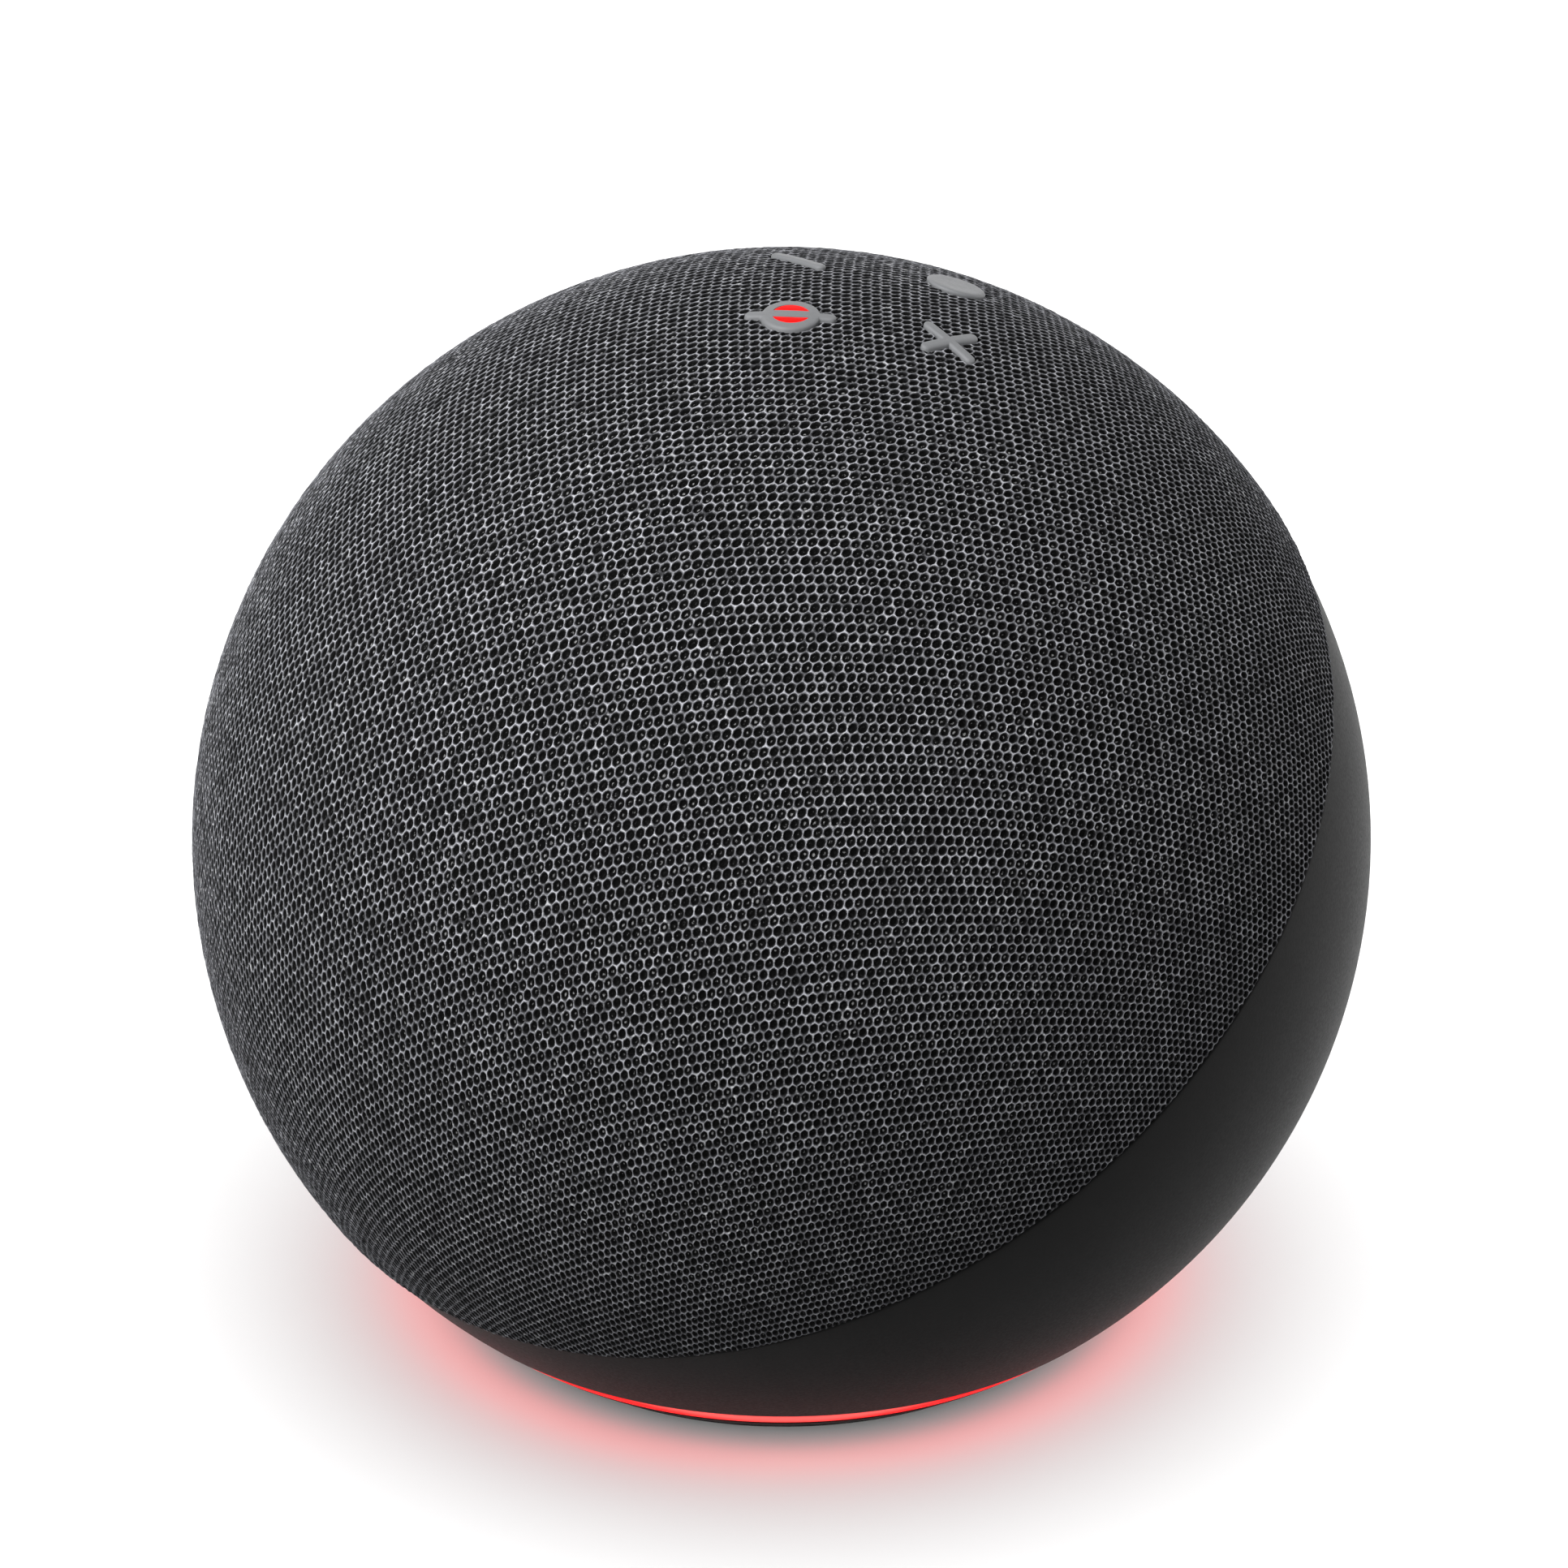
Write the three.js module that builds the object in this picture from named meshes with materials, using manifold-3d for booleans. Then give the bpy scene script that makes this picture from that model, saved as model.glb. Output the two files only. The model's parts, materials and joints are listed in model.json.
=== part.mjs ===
// Ball-shaped smart speaker, in millimetres.
// The origin is the middle of the resting face, +Z is up, and -Y is the front.
// A knitted cover stretched on a perforated dome is the front and top half of the ball.
// A plastic shell is the rear and bottom half, and a light ring and a rubber foot are under it.
import * as THREE from "three";
import { mergeVertices } from "three/addons/utils/BufferGeometryUtils.js";
import Module from "manifold-3d";

// ---------- driving dimensions ----------
const BALL_R = 72; // outside of the knitted cover
const CENTRE_Z = 60.6; // height of the ball's centre over the resting face
const FACE_TILT = 34.1; // degrees from vertical to the cover's axis, towards the front
const KEY_TILT = -11.75; // degrees from vertical to the axis of the key group, towards the rear
const SEAM_Z = -2.9; // seam plane, along the cover's axis from the ball's centre
const GAP = 0.3; // clearance between neighbouring pieces

const COVER_WALL = 0.6;
const GRILLE_R = BALL_R - COVER_WALL - GAP;
const GRILLE_INNER_R = 69.4;
const SKIRT_R = 68.2;
const SKIRT_INNER_R = 66.8;
const SKIRT_LOW_Z = -8;
const SHELL_R = 71.35; // the cover stands a little proud of the shell
const SHELL_INNER_R = 69.3;

const KEY_CIRCLE_R = 13.6; // the four keys stand on a circle round the key axis
const KEY_TOP_R = 72.3; // the caps end on a sphere just outside the cover
const KEY_BAR_LENGTH = 8.9;
const KEY_BAR_WIDTH = 1.4;
const ACTION_R = 3.65;
const MUTE_R = 3.55;
const MUTE_BAR_LENGTH = 10.9;
const MUTE_BAR_ANGLE = 45;
const LENS_WINDOW_R = 2.3;
const LENS_SPLIT = 1.5;
const KEY_TRAVEL = 0.7;
const FRAME_TOP = 64.5; // heights along the key axis, from the ball's centre
const FRAME_LOW = 63.2;
const FRAME_R = 20.5;
const KEY_FLANGE_R = 4.8;
const KEY_FLANGE_LOW = FRAME_TOP + KEY_TRAVEL + 0.2;
const KEY_FLANGE_TOP = KEY_FLANGE_LOW + 0.8;
const KEY_STEM_LOW = 63.3;
const KEY_STEM_R = 1.6;
const SWITCH_TOP = KEY_STEM_LOW - KEY_TRAVEL - 0.4;
const SWITCH_OFFSET = 6; // from the mute key's axis to its switch
const BOARD_TOP = 59.6;
const BOARD_LOW = 58;
const BOARD_R = 18.5;

const BAFFLE_TOP = 11;
const BAFFLE_LOW = 8.4;
const BAFFLE_R = 65.5;
const CHAMBER_R = 59;
const CHAMBER_WALL = 2.4;
const CHAMBER_FLOOR_Z = 24.5; // height of the chamber's flat underside over the resting face
const POST_CIRCLE_R = 62; // screw posts that hold the baffle
const POST_R = 2.6;

const WOOFER_Z = BAFFLE_TOP + 1.3; // underside of the basket's flange, over the gasket
const WOOFER_HOLE_R = 37.5;
const WOOFER_FLANGE_R = 44.5;
const WOOFER_SCREW_CIRCLE_R = 42.3;

const TWEETER_SIDE = 35; // degrees from straight ahead
const TWEETER_RISE = 10; // degrees over the horizontal
const TWEETER_SEAT = 60; // distance of the tweeter's flange from the ball's centre

const PORT_Z = 20; // height of the ports over the resting face
const PORT_FLOOR_Y = 53.3; // flat floor of the port pocket
const PORT_LENGTH = 34;
const PORT_HEIGHT = 12;
const PORT_WALL = 2;
const JACK_X = 8; // each jack's distance from the middle of the pocket
const JACK_TUBE_R = { power: 4.2, audio: 3 };
const JACK_BORE_R = { power: 3.2, audio: 1.8 };

const RING_TOP = 7.4; // visible band of the light ring
const RING_LOW = 4.25;
const RING_R = 71.3; // its outside is flush with the shell
const SHELL_LOW_Z = 7.7;
const FLOOR_RING_LOW = 11.9; // inward flange at the bottom of the shell
const FLOOR_RING_TOP = 14;
const FLOOR_RING_INNER_R = 27;
const SCREW_HOLE_R = 1.7; // for the screws of the baffle and of the base
const BASE_BOSS_R = 3.4;
const BOARD_POST_R = 2.6;
const BOARD_POST_CIRCLE_R = 38;
const POST_LOW = -28; // foot of the baffle's posts, along the cover's axis
const FOOT_TOP = 3.95;
const FOOT_INNER_R = 24;
const BASE_LOW = 4.25;
const BASE_TOP = 7.4;
const BASE_R = 38.3;
const BASE_BOSS_LOW = 1.2;
const BASE_SCREW_CIRCLE_R = 31.5;
const BASE_SCREW_SEAT = 7;
const BASE_SCREW_WELL_R = 3.1;
const SOCKET_R = 3.15; // tripod socket
const INSERT_R = 5; // outside of the brass insert round it
const SOCKET_TOP = 13;
const MAIN_BOARD_LOW = 17.4;
const MAIN_BOARD_TOP = 19;
const MAIN_BOARD_R = 44;

// Facets round a full turn.
const SHELL_FACETS = 30;
const WOOFER_FACETS = 20;
const SMALL_FACETS = 12;
const SCREW_FACETS = 6;
const ARC_STEPS = 7;

const charcoal = { color: 0x1d1e20, roughness: 0.55, metalness: 0 };
const knit = { color: 0x2a2c30, roughness: 0.95, metalness: 0 };
const blackPlastic = { color: 0x111214, roughness: 0.6, metalness: 0 };
const keyGrey = { color: 0x77787c, roughness: 0.45, metalness: 0 };
const redGlow = { color: 0xff1a14, roughness: 0.4, metalness: 0, emissive: 0xff1a14 };
const rubber = { color: 0x0c0c0d, roughness: 0.85, metalness: 0 };
const boardGreen = { color: 0x0f3d2a, roughness: 0.5, metalness: 0 };
const steel = { color: 0xa9adb2, roughness: 0.35, metalness: 1 };
const darkSteel = { color: 0x3a3c40, roughness: 0.4, metalness: 1 };
const ferrite = { color: 0x26262a, roughness: 0.7, metalness: 0.2 };
const aluminium = { color: 0xb8bcc2, roughness: 0.4, metalness: 1 };
const brass = { color: 0xb08d4a, roughness: 0.35, metalness: 1 };
const copper = { color: 0xb4683c, roughness: 0.4, metalness: 1 };
const pulp = { color: 0x1b1b1d, roughness: 0.9, metalness: 0 };
const amber = { color: 0xb5813a, roughness: 0.7, metalness: 0 };

// ---------- solids ----------
const wasm = await Module();
wasm.setup();

const rad = THREE.MathUtils.degToRad;

// A closed geometry as a manifold-3d solid: shared corners merged, empty triangles dropped,
// and every face turned outwards.
function solid(geometry) {
  const bare = geometry.clone();
  bare.deleteAttribute("normal");
  bare.deleteAttribute("uv");
  const merged = mergeVertices(bare, 1e-4);
  const index = merged.index.array;
  const points = merged.attributes.position;
  const [a, b, c] = [new THREE.Vector3(), new THREE.Vector3(), new THREE.Vector3()];
  const corners = [];
  let volume = 0;
  for (let i = 0; i < index.length; i += 3) {
    const [p, q, r] = index.slice(i, i + 3);
    if (p === q || q === r || r === p) continue;
    corners.push(p, q, r);
    a.fromBufferAttribute(points, p);
    b.fromBufferAttribute(points, q);
    c.fromBufferAttribute(points, r);
    volume += a.dot(b.cross(c));
  }
  if (volume < 0) corners.reverse();
  const mesh = new wasm.Mesh({
    numProp: 3,
    vertProperties: new Float32Array(points.array),
    triVerts: new Uint32Array(corners),
  });
  return new wasm.Manifold(mesh);
}

function geometryOf(shape) {
  const { numProp, vertProperties, triVerts } = shape.getMesh();
  const geometry = new THREE.BufferGeometry();
  geometry.setAttribute("position", new THREE.BufferAttribute(vertProperties, numProp));
  geometry.setIndex(new THREE.BufferAttribute(triVerts, 1));
  geometry.computeVertexNormals();
  return geometry;
}

// A closed profile of [radius, height] points, turned round Z. Where it runs along the axis,
// that stretch is left out, so the surface starts and ends on the axis.
function turned(profile, facets) {
  const count = profile.length;
  const start = profile.findIndex(([r], i) => r === 0 && profile.at(i - 1)[0] === 0);
  const run = profile.map((_, i) => profile[(i + Math.max(start, 0)) % count]);
  const points = run.map(([r, z]) => new THREE.Vector2(r, z));
  if (start < 0) points.push(points[0].clone());
  return solid(new THREE.LatheGeometry(points, facets).rotateX(Math.PI / 2));
}

function ring(inner, outer, low, high, facets) {
  return turned([[inner, low], [outer, low], [outer, high], [inner, high]], facets);
}

function disc(radius, low, high, facets, x = 0, y = 0) {
  const geometry = new THREE.CylinderGeometry(radius, radius, high - low, facets);
  return solid(geometry.rotateX(Math.PI / 2).translate(x, y, (low + high) / 2));
}

function block(width, depth, low, high, x = 0, y = 0) {
  return solid(new THREE.BoxGeometry(width, depth, high - low).translate(x, y, (low + high) / 2));
}

// A bar with round ends, standing on the XY plane and turned by an angle in degrees.
function bar(length, width, low, high, angle = 0, x = 0, y = 0) {
  const reach = (length - width) / 2;
  const outline = new THREE.Shape();
  outline.absarc(reach, 0, width / 2, -Math.PI / 2, Math.PI / 2);
  outline.absarc(-reach, 0, width / 2, Math.PI / 2, (3 * Math.PI) / 2);
  const geometry = new THREE.ExtrudeGeometry(outline, {
    depth: high - low,
    curveSegments: 5,
    bevelEnabled: false,
  });
  return solid(geometry.rotateZ(rad(angle)).translate(x, y, low));
}

// Points of a sphere's section, [radius, height], from one polar angle to another in degrees.
function arc(radius, from, to, steps) {
  const points = [];
  for (let i = 0; i <= steps; i += 1) {
    const angle = rad(from + ((to - from) * i) / steps);
    const r = Math.abs(Math.sin(angle)) < 1e-9 ? 0 : radius * Math.sin(angle);
    points.push([r, radius * Math.cos(angle)]);
  }
  return points;
}

const polar = (radius, z) => THREE.MathUtils.radToDeg(Math.acos(z / radius));
const radiusAt = (radius, z) => Math.sqrt(radius * radius - z * z);

// A solid carried through a matrix, such as from one frame to another.
function moved(shape, matrix) {
  return solid(geometryOf(shape).applyMatrix4(matrix));
}

// A screw along Z with its head upwards: the head starts at seat, the shank ends at tip.
function screw(seat, tip, headR, headHeight, shankR) {
  const top = seat + headHeight;
  const profile = [[0, tip], [shankR, tip], [shankR, seat], [headR, seat], [headR, top], [0, top]];
  return turned(profile, SCREW_FACETS);
}

function aroundCircle(count, radius, start = 0) {
  return Array.from({ length: count }, (_, i) => {
    const angle = rad(start + (360 * i) / count);
    return [radius * Math.cos(angle), radius * Math.sin(angle)];
  });
}

// ---------- frames ----------
// Every frame but the base's has its origin at the ball's centre.
const faceFrame = new THREE.Matrix4().makeRotationX(rad(FACE_TILT));
const keyFrame = new THREE.Matrix4().makeRotationX(rad(KEY_TILT));
const baseFrame = new THREE.Matrix4().makeTranslation(0, 0, -CENTRE_Z);
const tweeterFrame = (side) => {
  const direction = new THREE.Vector3(
    side * Math.sin(rad(TWEETER_SIDE)) * Math.cos(rad(TWEETER_RISE)),
    -Math.cos(rad(TWEETER_SIDE)) * Math.cos(rad(TWEETER_RISE)),
    Math.sin(rad(TWEETER_RISE)),
  );
  const turn = new THREE.Quaternion().setFromUnitVectors(new THREE.Vector3(0, 0, 1), direction);
  return new THREE.Matrix4().makeRotationFromQuaternion(turn);
};
const toFace = (frame) => faceFrame.clone().invert().multiply(frame);
const ballToFace = toFace(new THREE.Matrix4());
const baseToFace = toFace(baseFrame);

const root = new THREE.Group();
const ball = new THREE.Group();
ball.position.z = CENTRE_Z;
root.add(ball);

function frameGroup(frame) {
  const group = new THREE.Group();
  group.applyMatrix4(frame);
  ball.add(group);
  return group;
}
const face = frameGroup(faceFrame);
const keys = frameGroup(keyFrame);
const base = frameGroup(baseFrame);

function add(group, name, shape, finish) {
  const mesh = new THREE.Mesh(geometryOf(shape), new THREE.MeshStandardMaterial(finish));
  mesh.name = name;
  group.add(mesh);
  return mesh;
}

// ---------- key outlines, shared by the caps and the holes they stand in ----------
const keyPlaces = {
  mute: [0, -KEY_CIRCLE_R],
  action: [0, KEY_CIRCLE_R],
  volume_up: [KEY_CIRCLE_R, 0],
  volume_down: [-KEY_CIRCLE_R, 0],
};

// The key's outline widened by a margin on every side, as a prism along the key axis.
function keyOutline(name, margin, low, high) {
  const [x, y] = keyPlaces[name];
  const keyBar = (angle, length = KEY_BAR_LENGTH) =>
    bar(length + 2 * margin, KEY_BAR_WIDTH + 2 * margin, low, high, angle, x, y);
  if (name === "volume_down") return keyBar(0);
  if (name === "volume_up") return keyBar(0).add(keyBar(90));
  if (name === "action") return disc(ACTION_R + margin, low, high, SMALL_FACETS, x, y);
  const round = disc(MUTE_R + margin, low, high, SMALL_FACETS, x, y);
  return round.add(keyBar(MUTE_BAR_ANGLE, MUTE_BAR_LENGTH));
}

const KEY_HOLE_MARGIN = 0.35;
const KEY_HOLE_LOW = 60;
const KEY_HOLE_HIGH = 76;
function keyHoles() {
  const names = Object.keys(keyPlaces);
  const holes = names.map((n) => keyOutline(n, KEY_HOLE_MARGIN, KEY_HOLE_LOW, KEY_HOLE_HIGH));
  return moved(holes.reduce((all, hole) => all.add(hole)), toFace(keyFrame));
}

const MIC_CIRCLE_R = 15.2;
const microphonePlaces = aroundCircle(4, MIC_CIRCLE_R, 45);
const MIC_HOLE_R = 0.9;
function microphoneHoles() {
  const holes = microphonePlaces.map(([x, y]) => disc(MIC_HOLE_R, 55, KEY_HOLE_HIGH, 6, x, y));
  return holes.reduce((all, hole) => all.add(hole));
}

// ---------- cover, grille and shell ----------
function fabricCover() {
  const edge = SEAM_Z + GAP;
  const inner = BALL_R - COVER_WALL;
  const outside = arc(BALL_R, polar(BALL_R, edge), 0, ARC_STEPS);
  const inside = arc(inner, 0, polar(inner, edge), ARC_STEPS);
  return turned([...outside, ...inside], SHELL_FACETS).subtract(keyHoles());
}

const GRILLE_HOLE_R = 2.2;
const GRILLE_HOLE_LIMIT_Y = 14; // no woofer hole lies nearer to the keys than this
// The dome has round holes over the woofer and in front of each tweeter.
function grille() {
  const shoulder = SEAM_Z + GAP;
  const rib = 4;
  const profile = [
    [SKIRT_INNER_R, SKIRT_LOW_Z],
    [SKIRT_R, SKIRT_LOW_Z],
    [SKIRT_R, shoulder],
    ...arc(GRILLE_R, polar(GRILLE_R, shoulder), 0, ARC_STEPS),
    ...arc(GRILLE_INNER_R, 0, polar(GRILLE_INNER_R, rib), ARC_STEPS),
    [SKIRT_INNER_R, rib],
  ];
  const dome = turned(profile, SHELL_FACETS);
  const hole = (x, y) => disc(GRILLE_HOLE_R, 30, KEY_HOLE_HIGH, 6, x, y);
  const holes = [];
  for (const [count, radius] of [[6, 9], [12, 18]]) {
    for (const [x, y] of aroundCircle(count, radius)) {
      if (y < GRILLE_HOLE_LIMIT_Y) holes.push(hole(x, y));
    }
  }
  for (const side of [-1, 1]) {
    const places = [[0, 0], ...aroundCircle(5, 7)];
    for (const [x, y] of places) holes.push(moved(hole(x, y), toFace(tweeterFrame(side))));
  }
  const openings = holes.reduce((all, one) => all.add(one));
  return dome
    .subtract(openings)
    .subtract(keyHoles())
    .subtract(moved(microphoneHoles(), toFace(keyFrame)));
}

function portPocket(grow, yLow, yHigh) {
  const shape = bar(PORT_LENGTH + 2 * grow, PORT_HEIGHT + 2 * grow, yLow, yHigh);
  const place = new THREE.Matrix4()
    .makeTranslation(0, 0, PORT_Z)
    .multiply(new THREE.Matrix4().makeRotationX(-Math.PI / 2));
  return moved(shape, baseFrame.clone().multiply(place));
}

// A cylinder along +Y at a height over the resting face, in the ball's frame.
function alongY(radius, yLow, yHigh, x, z, facets) {
  const place = new THREE.Matrix4()
    .makeTranslation(x, 0, z - CENTRE_Z)
    .multiply(new THREE.Matrix4().makeRotationX(-Math.PI / 2));
  return moved(disc(radius, yLow, yHigh, facets), place);
}

const ballOf = (radius, facets) =>
  solid(new THREE.SphereGeometry(radius, facets, facets / 2));
const postPlaces = aroundCircle(4, POST_CIRCLE_R, 45);
const baseScrewPlaces = aroundCircle(4, BASE_SCREW_CIRCLE_R, 45);
const boardPostPlaces = [20, 160, 200, 340].map((a) => aroundCircle(1, BOARD_POST_CIRCLE_R, a)[0]);

// The bowl with its baffle posts, the floor ring that carries the board and the base, and the
// port pocket.
function rearShell() {
  const outside = arc(SHELL_R, polar(SHELL_R, SEAM_Z), 180, ARC_STEPS);
  const inside = arc(SHELL_INNER_R, 180, polar(SHELL_INNER_R, SEAM_Z), ARC_STEPS);
  const bowl = turned([...outside, ...inside], SHELL_FACETS);
  const limit = ballOf(SHELL_INNER_R + 1, SHELL_FACETS);
  const posts = postPlaces
    .map(([x, y]) => disc(POST_R, POST_LOW, BAFFLE_LOW - GAP, SMALL_FACETS, x, y))
    .reduce((all, post) => all.add(post));
  let floor = ring(FLOOR_RING_INNER_R, 60, FLOOR_RING_LOW, FLOOR_RING_TOP, SHELL_FACETS);
  const pillarTop = MAIN_BOARD_LOW - GAP;
  for (const [places, radius] of [[baseScrewPlaces, BASE_BOSS_R], [boardPostPlaces, BOARD_POST_R]]) {
    for (const [x, y] of places) {
      floor = floor.add(disc(radius, FLOOR_RING_LOW, pillarTop, SMALL_FACETS, x, y));
    }
  }
  const pocket = moved(portPocket(PORT_WALL, PORT_FLOOR_Y - PORT_WALL, BALL_R), ballToFace);
  let shell = bowl
    .add(posts.intersect(limit))
    .add(moved(floor, baseToFace).intersect(limit))
    .add(pocket.intersect(ballOf(SHELL_R, SHELL_FACETS)));
  const mouth = disc(BALL_R + 8, -20, SHELL_LOW_Z, SHELL_FACETS);
  shell = shell.subtract(moved(mouth, baseToFace));
  shell = shell.subtract(moved(portPocket(0, PORT_FLOOR_Y, BALL_R + 8), ballToFace));
  for (const [x, kind] of [[JACK_X, "power"], [-JACK_X, "audio"]]) {
    const hole = alongY(JACK_TUBE_R[kind] + GAP, 45, 60, x, PORT_Z, SMALL_FACETS);
    shell = shell.subtract(moved(hole, ballToFace));
  }
  for (const [x, y] of postPlaces) {
    shell = shell.subtract(disc(SCREW_HOLE_R, BAFFLE_LOW - 12, BAFFLE_LOW, SCREW_FACETS, x, y));
  }
  for (const [x, y] of baseScrewPlaces) {
    const hole = disc(SCREW_HOLE_R, 10, MAIN_BOARD_LOW - 1.2, SCREW_FACETS, x, y);
    shell = shell.subtract(moved(hole, baseToFace));
  }
  return shell;
}

// The ring that holds the cover's hem against the inside of the grille's skirt.
function fabricClampRing() {
  return ring(65.2, SKIRT_INNER_R - GAP, SKIRT_LOW_Z, -3, SHELL_FACETS);
}

add(face, "fabric_cover", fabricCover(), knit);
add(face, "grille", grille(), blackPlastic);
add(face, "fabric_clamp_ring", fabricClampRing(), blackPlastic);
add(face, "rear_shell", rearShell(), charcoal);

// ---------- keys ----------
const capLimit = ballOf(KEY_TOP_R, 60);

function plainKey(name) {
  const [x, y] = keyPlaces[name];
  const cap = keyOutline(name, 0, KEY_FLANGE_LOW, KEY_HOLE_HIGH).intersect(capLimit);
  const flange = disc(KEY_FLANGE_R, KEY_FLANGE_LOW, KEY_FLANGE_TOP, SMALL_FACETS, x, y);
  const stem = disc(KEY_STEM_R, KEY_STEM_LOW, KEY_FLANGE_TOP, SCREW_FACETS, x, y);
  return cap.add(flange).add(stem);
}

// Two half-moons either side of a bar, as prisms.
function halfMoons(radius, split, low, high) {
  const [x, y] = keyPlaces.mute;
  return disc(radius, low, high, SMALL_FACETS, x, y).subtract(
    bar(30, split, low - 1, high + 1, MUTE_BAR_ANGLE, x, y),
  );
}

const LENS_PIPE_R = 2.4;
const LENS_PIPE_TOP = 71;
const switchPlaces = {
  ...keyPlaces,
  mute: [0, SWITCH_OFFSET - KEY_CIRCLE_R],
};

// The mute key is hollow for its light pipe, and presses its switch with a finger at its side.
function muteKey() {
  const [x, y] = keyPlaces.mute;
  const [switchX, switchY] = switchPlaces.mute;
  const finger = disc(1.1, KEY_STEM_LOW, KEY_FLANGE_TOP, SCREW_FACETS, switchX, switchY);
  const web = block(2.2, SWITCH_OFFSET, KEY_FLANGE_LOW, KEY_FLANGE_TOP, x, y + SWITCH_OFFSET / 2);
  const bore = disc(LENS_PIPE_R + GAP, 60, LENS_PIPE_TOP + GAP, SMALL_FACETS, x, y);
  const cap = keyOutline("mute", 0, KEY_FLANGE_LOW, KEY_HOLE_HIGH).intersect(capLimit);
  const flange = disc(KEY_FLANGE_R, KEY_FLANGE_LOW, KEY_FLANGE_TOP, SMALL_FACETS, x, y);
  const windows = halfMoons(LENS_WINDOW_R, LENS_SPLIT, LENS_PIPE_TOP, KEY_HOLE_HIGH);
  return cap.add(flange).add(web).add(finger).subtract(bore).subtract(windows);
}

function muteLens() {
  const [x, y] = keyPlaces.mute;
  const pipe = disc(LENS_PIPE_R, KEY_STEM_LOW, LENS_PIPE_TOP, SMALL_FACETS, x, y);
  const glow = LENS_WINDOW_R - GAP;
  const windows = halfMoons(glow, LENS_SPLIT + 2 * GAP, LENS_PIPE_TOP - 1, KEY_HOLE_HIGH);
  return pipe.add(windows.intersect(ballOf(KEY_TOP_R - 0.2, 60)));
}

function buttonFrame() {
  let plate = disc(FRAME_R, FRAME_LOW, FRAME_TOP, SHELL_FACETS);
  for (const [x, y] of aroundCircle(4, 17.6, 0)) {
    plate = plate.add(block(2.4, 2.4, BOARD_TOP + GAP, FRAME_LOW + 0.5, x, y));
  }
  for (const [name, [x, y]] of Object.entries(keyPlaces)) {
    const radius = name === "mute" ? LENS_PIPE_R : KEY_STEM_R;
    plate = plate.subtract(disc(radius + 0.35, 60, 66, SMALL_FACETS, x, y));
  }
  const [x, y] = switchPlaces.mute;
  return plate.subtract(disc(1.5, 60, 66, SCREW_FACETS, x, y)).subtract(microphoneHoles());
}

// The board carries the red lamp under the mute key's light pipe.
function buttonBoard() {
  const lamp = block(2, 1.2, BOARD_LOW, BOARD_TOP + 0.7, ...keyPlaces.mute);
  return disc(BOARD_R, BOARD_LOW, BOARD_TOP, SHELL_FACETS).add(lamp);
}

function tactSwitch([x, y]) {
  const body = block(4.5, 4.5, BOARD_TOP + GAP, SWITCH_TOP - 0.7, x, y);
  return body.add(disc(1.2, BOARD_TOP + GAP, SWITCH_TOP, SCREW_FACETS, x, y));
}

for (const name of ["volume_up", "volume_down", "action"]) {
  add(keys, name + "_button", plainKey(name), keyGrey);
}
add(keys, "mute_button", muteKey(), keyGrey);
add(keys, "mute_light_lens", muteLens(), redGlow);
add(keys, "button_frame", buttonFrame(), blackPlastic);
add(keys, "button_board", buttonBoard(), boardGreen);
for (const [name, place] of Object.entries(switchPlaces)) {
  add(keys, "switch_" + name, tactSwitch(place), darkSteel);
}
microphonePlaces.forEach(([x, y], i) => {
  const can = block(3, 3, BOARD_TOP + GAP, BOARD_TOP + GAP + 1, x, y);
  add(keys, "microphone_" + (i + 1), can, steel);
});

// ---------- baffle and chamber ----------
const TWEETER_CUP_R = 14;
const TWEETER_CUP_LOW = 49;
const TWEETER_CAVITY_R = 10.6;
const TWEETER_CAVITY_LOW = 50.2;

function baffle() {
  let plate = ring(WOOFER_HOLE_R, BAFFLE_R, BAFFLE_LOW, BAFFLE_TOP, SHELL_FACETS);
  for (const side of [-1, 1]) {
    const frame = toFace(tweeterFrame(side));
    const axis = new THREE.Vector3(0, 0, 1).applyMatrix4(frame);
    const turn = Math.atan2(axis.y, axis.x);
    const leg = block(10, 14, BAFFLE_LOW, 24, 51, 0);
    const cup = disc(TWEETER_CUP_R, TWEETER_CUP_LOW, TWEETER_SEAT, SHELL_FACETS / 2);
    const cavity = disc(TWEETER_CAVITY_R, TWEETER_CAVITY_LOW, 80, SMALL_FACETS);
    plate = plate
      .add(moved(leg, new THREE.Matrix4().makeRotationZ(turn)))
      .add(moved(cup, frame))
      .subtract(moved(cavity, frame));
  }
  for (const [x, y] of postPlaces) {
    plate = plate.subtract(disc(SCREW_HOLE_R, 0, 20, SCREW_FACETS, x, y));
  }
  for (const [x, y] of wooferScrewPlaces) {
    plate = plate.subtract(disc(WOOFER_SCREW_HOLE_R, 0, 20, SCREW_FACETS, x, y));
  }
  const cableSlot = block(11.2, 3, 0, 20, 0, 59.5);
  return plate.subtract(cableSlot);
}

function chamber() {
  const rim = BAFFLE_LOW - GAP;
  const bowl = (radius) => {
    const profile = [[0, rim], ...arc(radius, polar(radius, rim), 180, ARC_STEPS)];
    return turned(profile, SHELL_FACETS);
  };
  const below = (height) => moved(disc(90, -60, height, 4), baseToFace);
  const inner = bowl(CHAMBER_R - CHAMBER_WALL);
  const lid = disc(radiusAt(CHAMBER_R - CHAMBER_WALL, rim) - 0.4, rim - 2, rim + 2, SHELL_FACETS);
  return bowl(CHAMBER_R)
    .subtract(below(CHAMBER_FLOOR_Z))
    .subtract(inner.add(lid).subtract(below(CHAMBER_FLOOR_Z + CHAMBER_WALL)));
}

const wooferScrewPlaces = aroundCircle(4, WOOFER_SCREW_CIRCLE_R, 0);
const WOOFER_SCREW_HOLE_R = 1.45;

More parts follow.
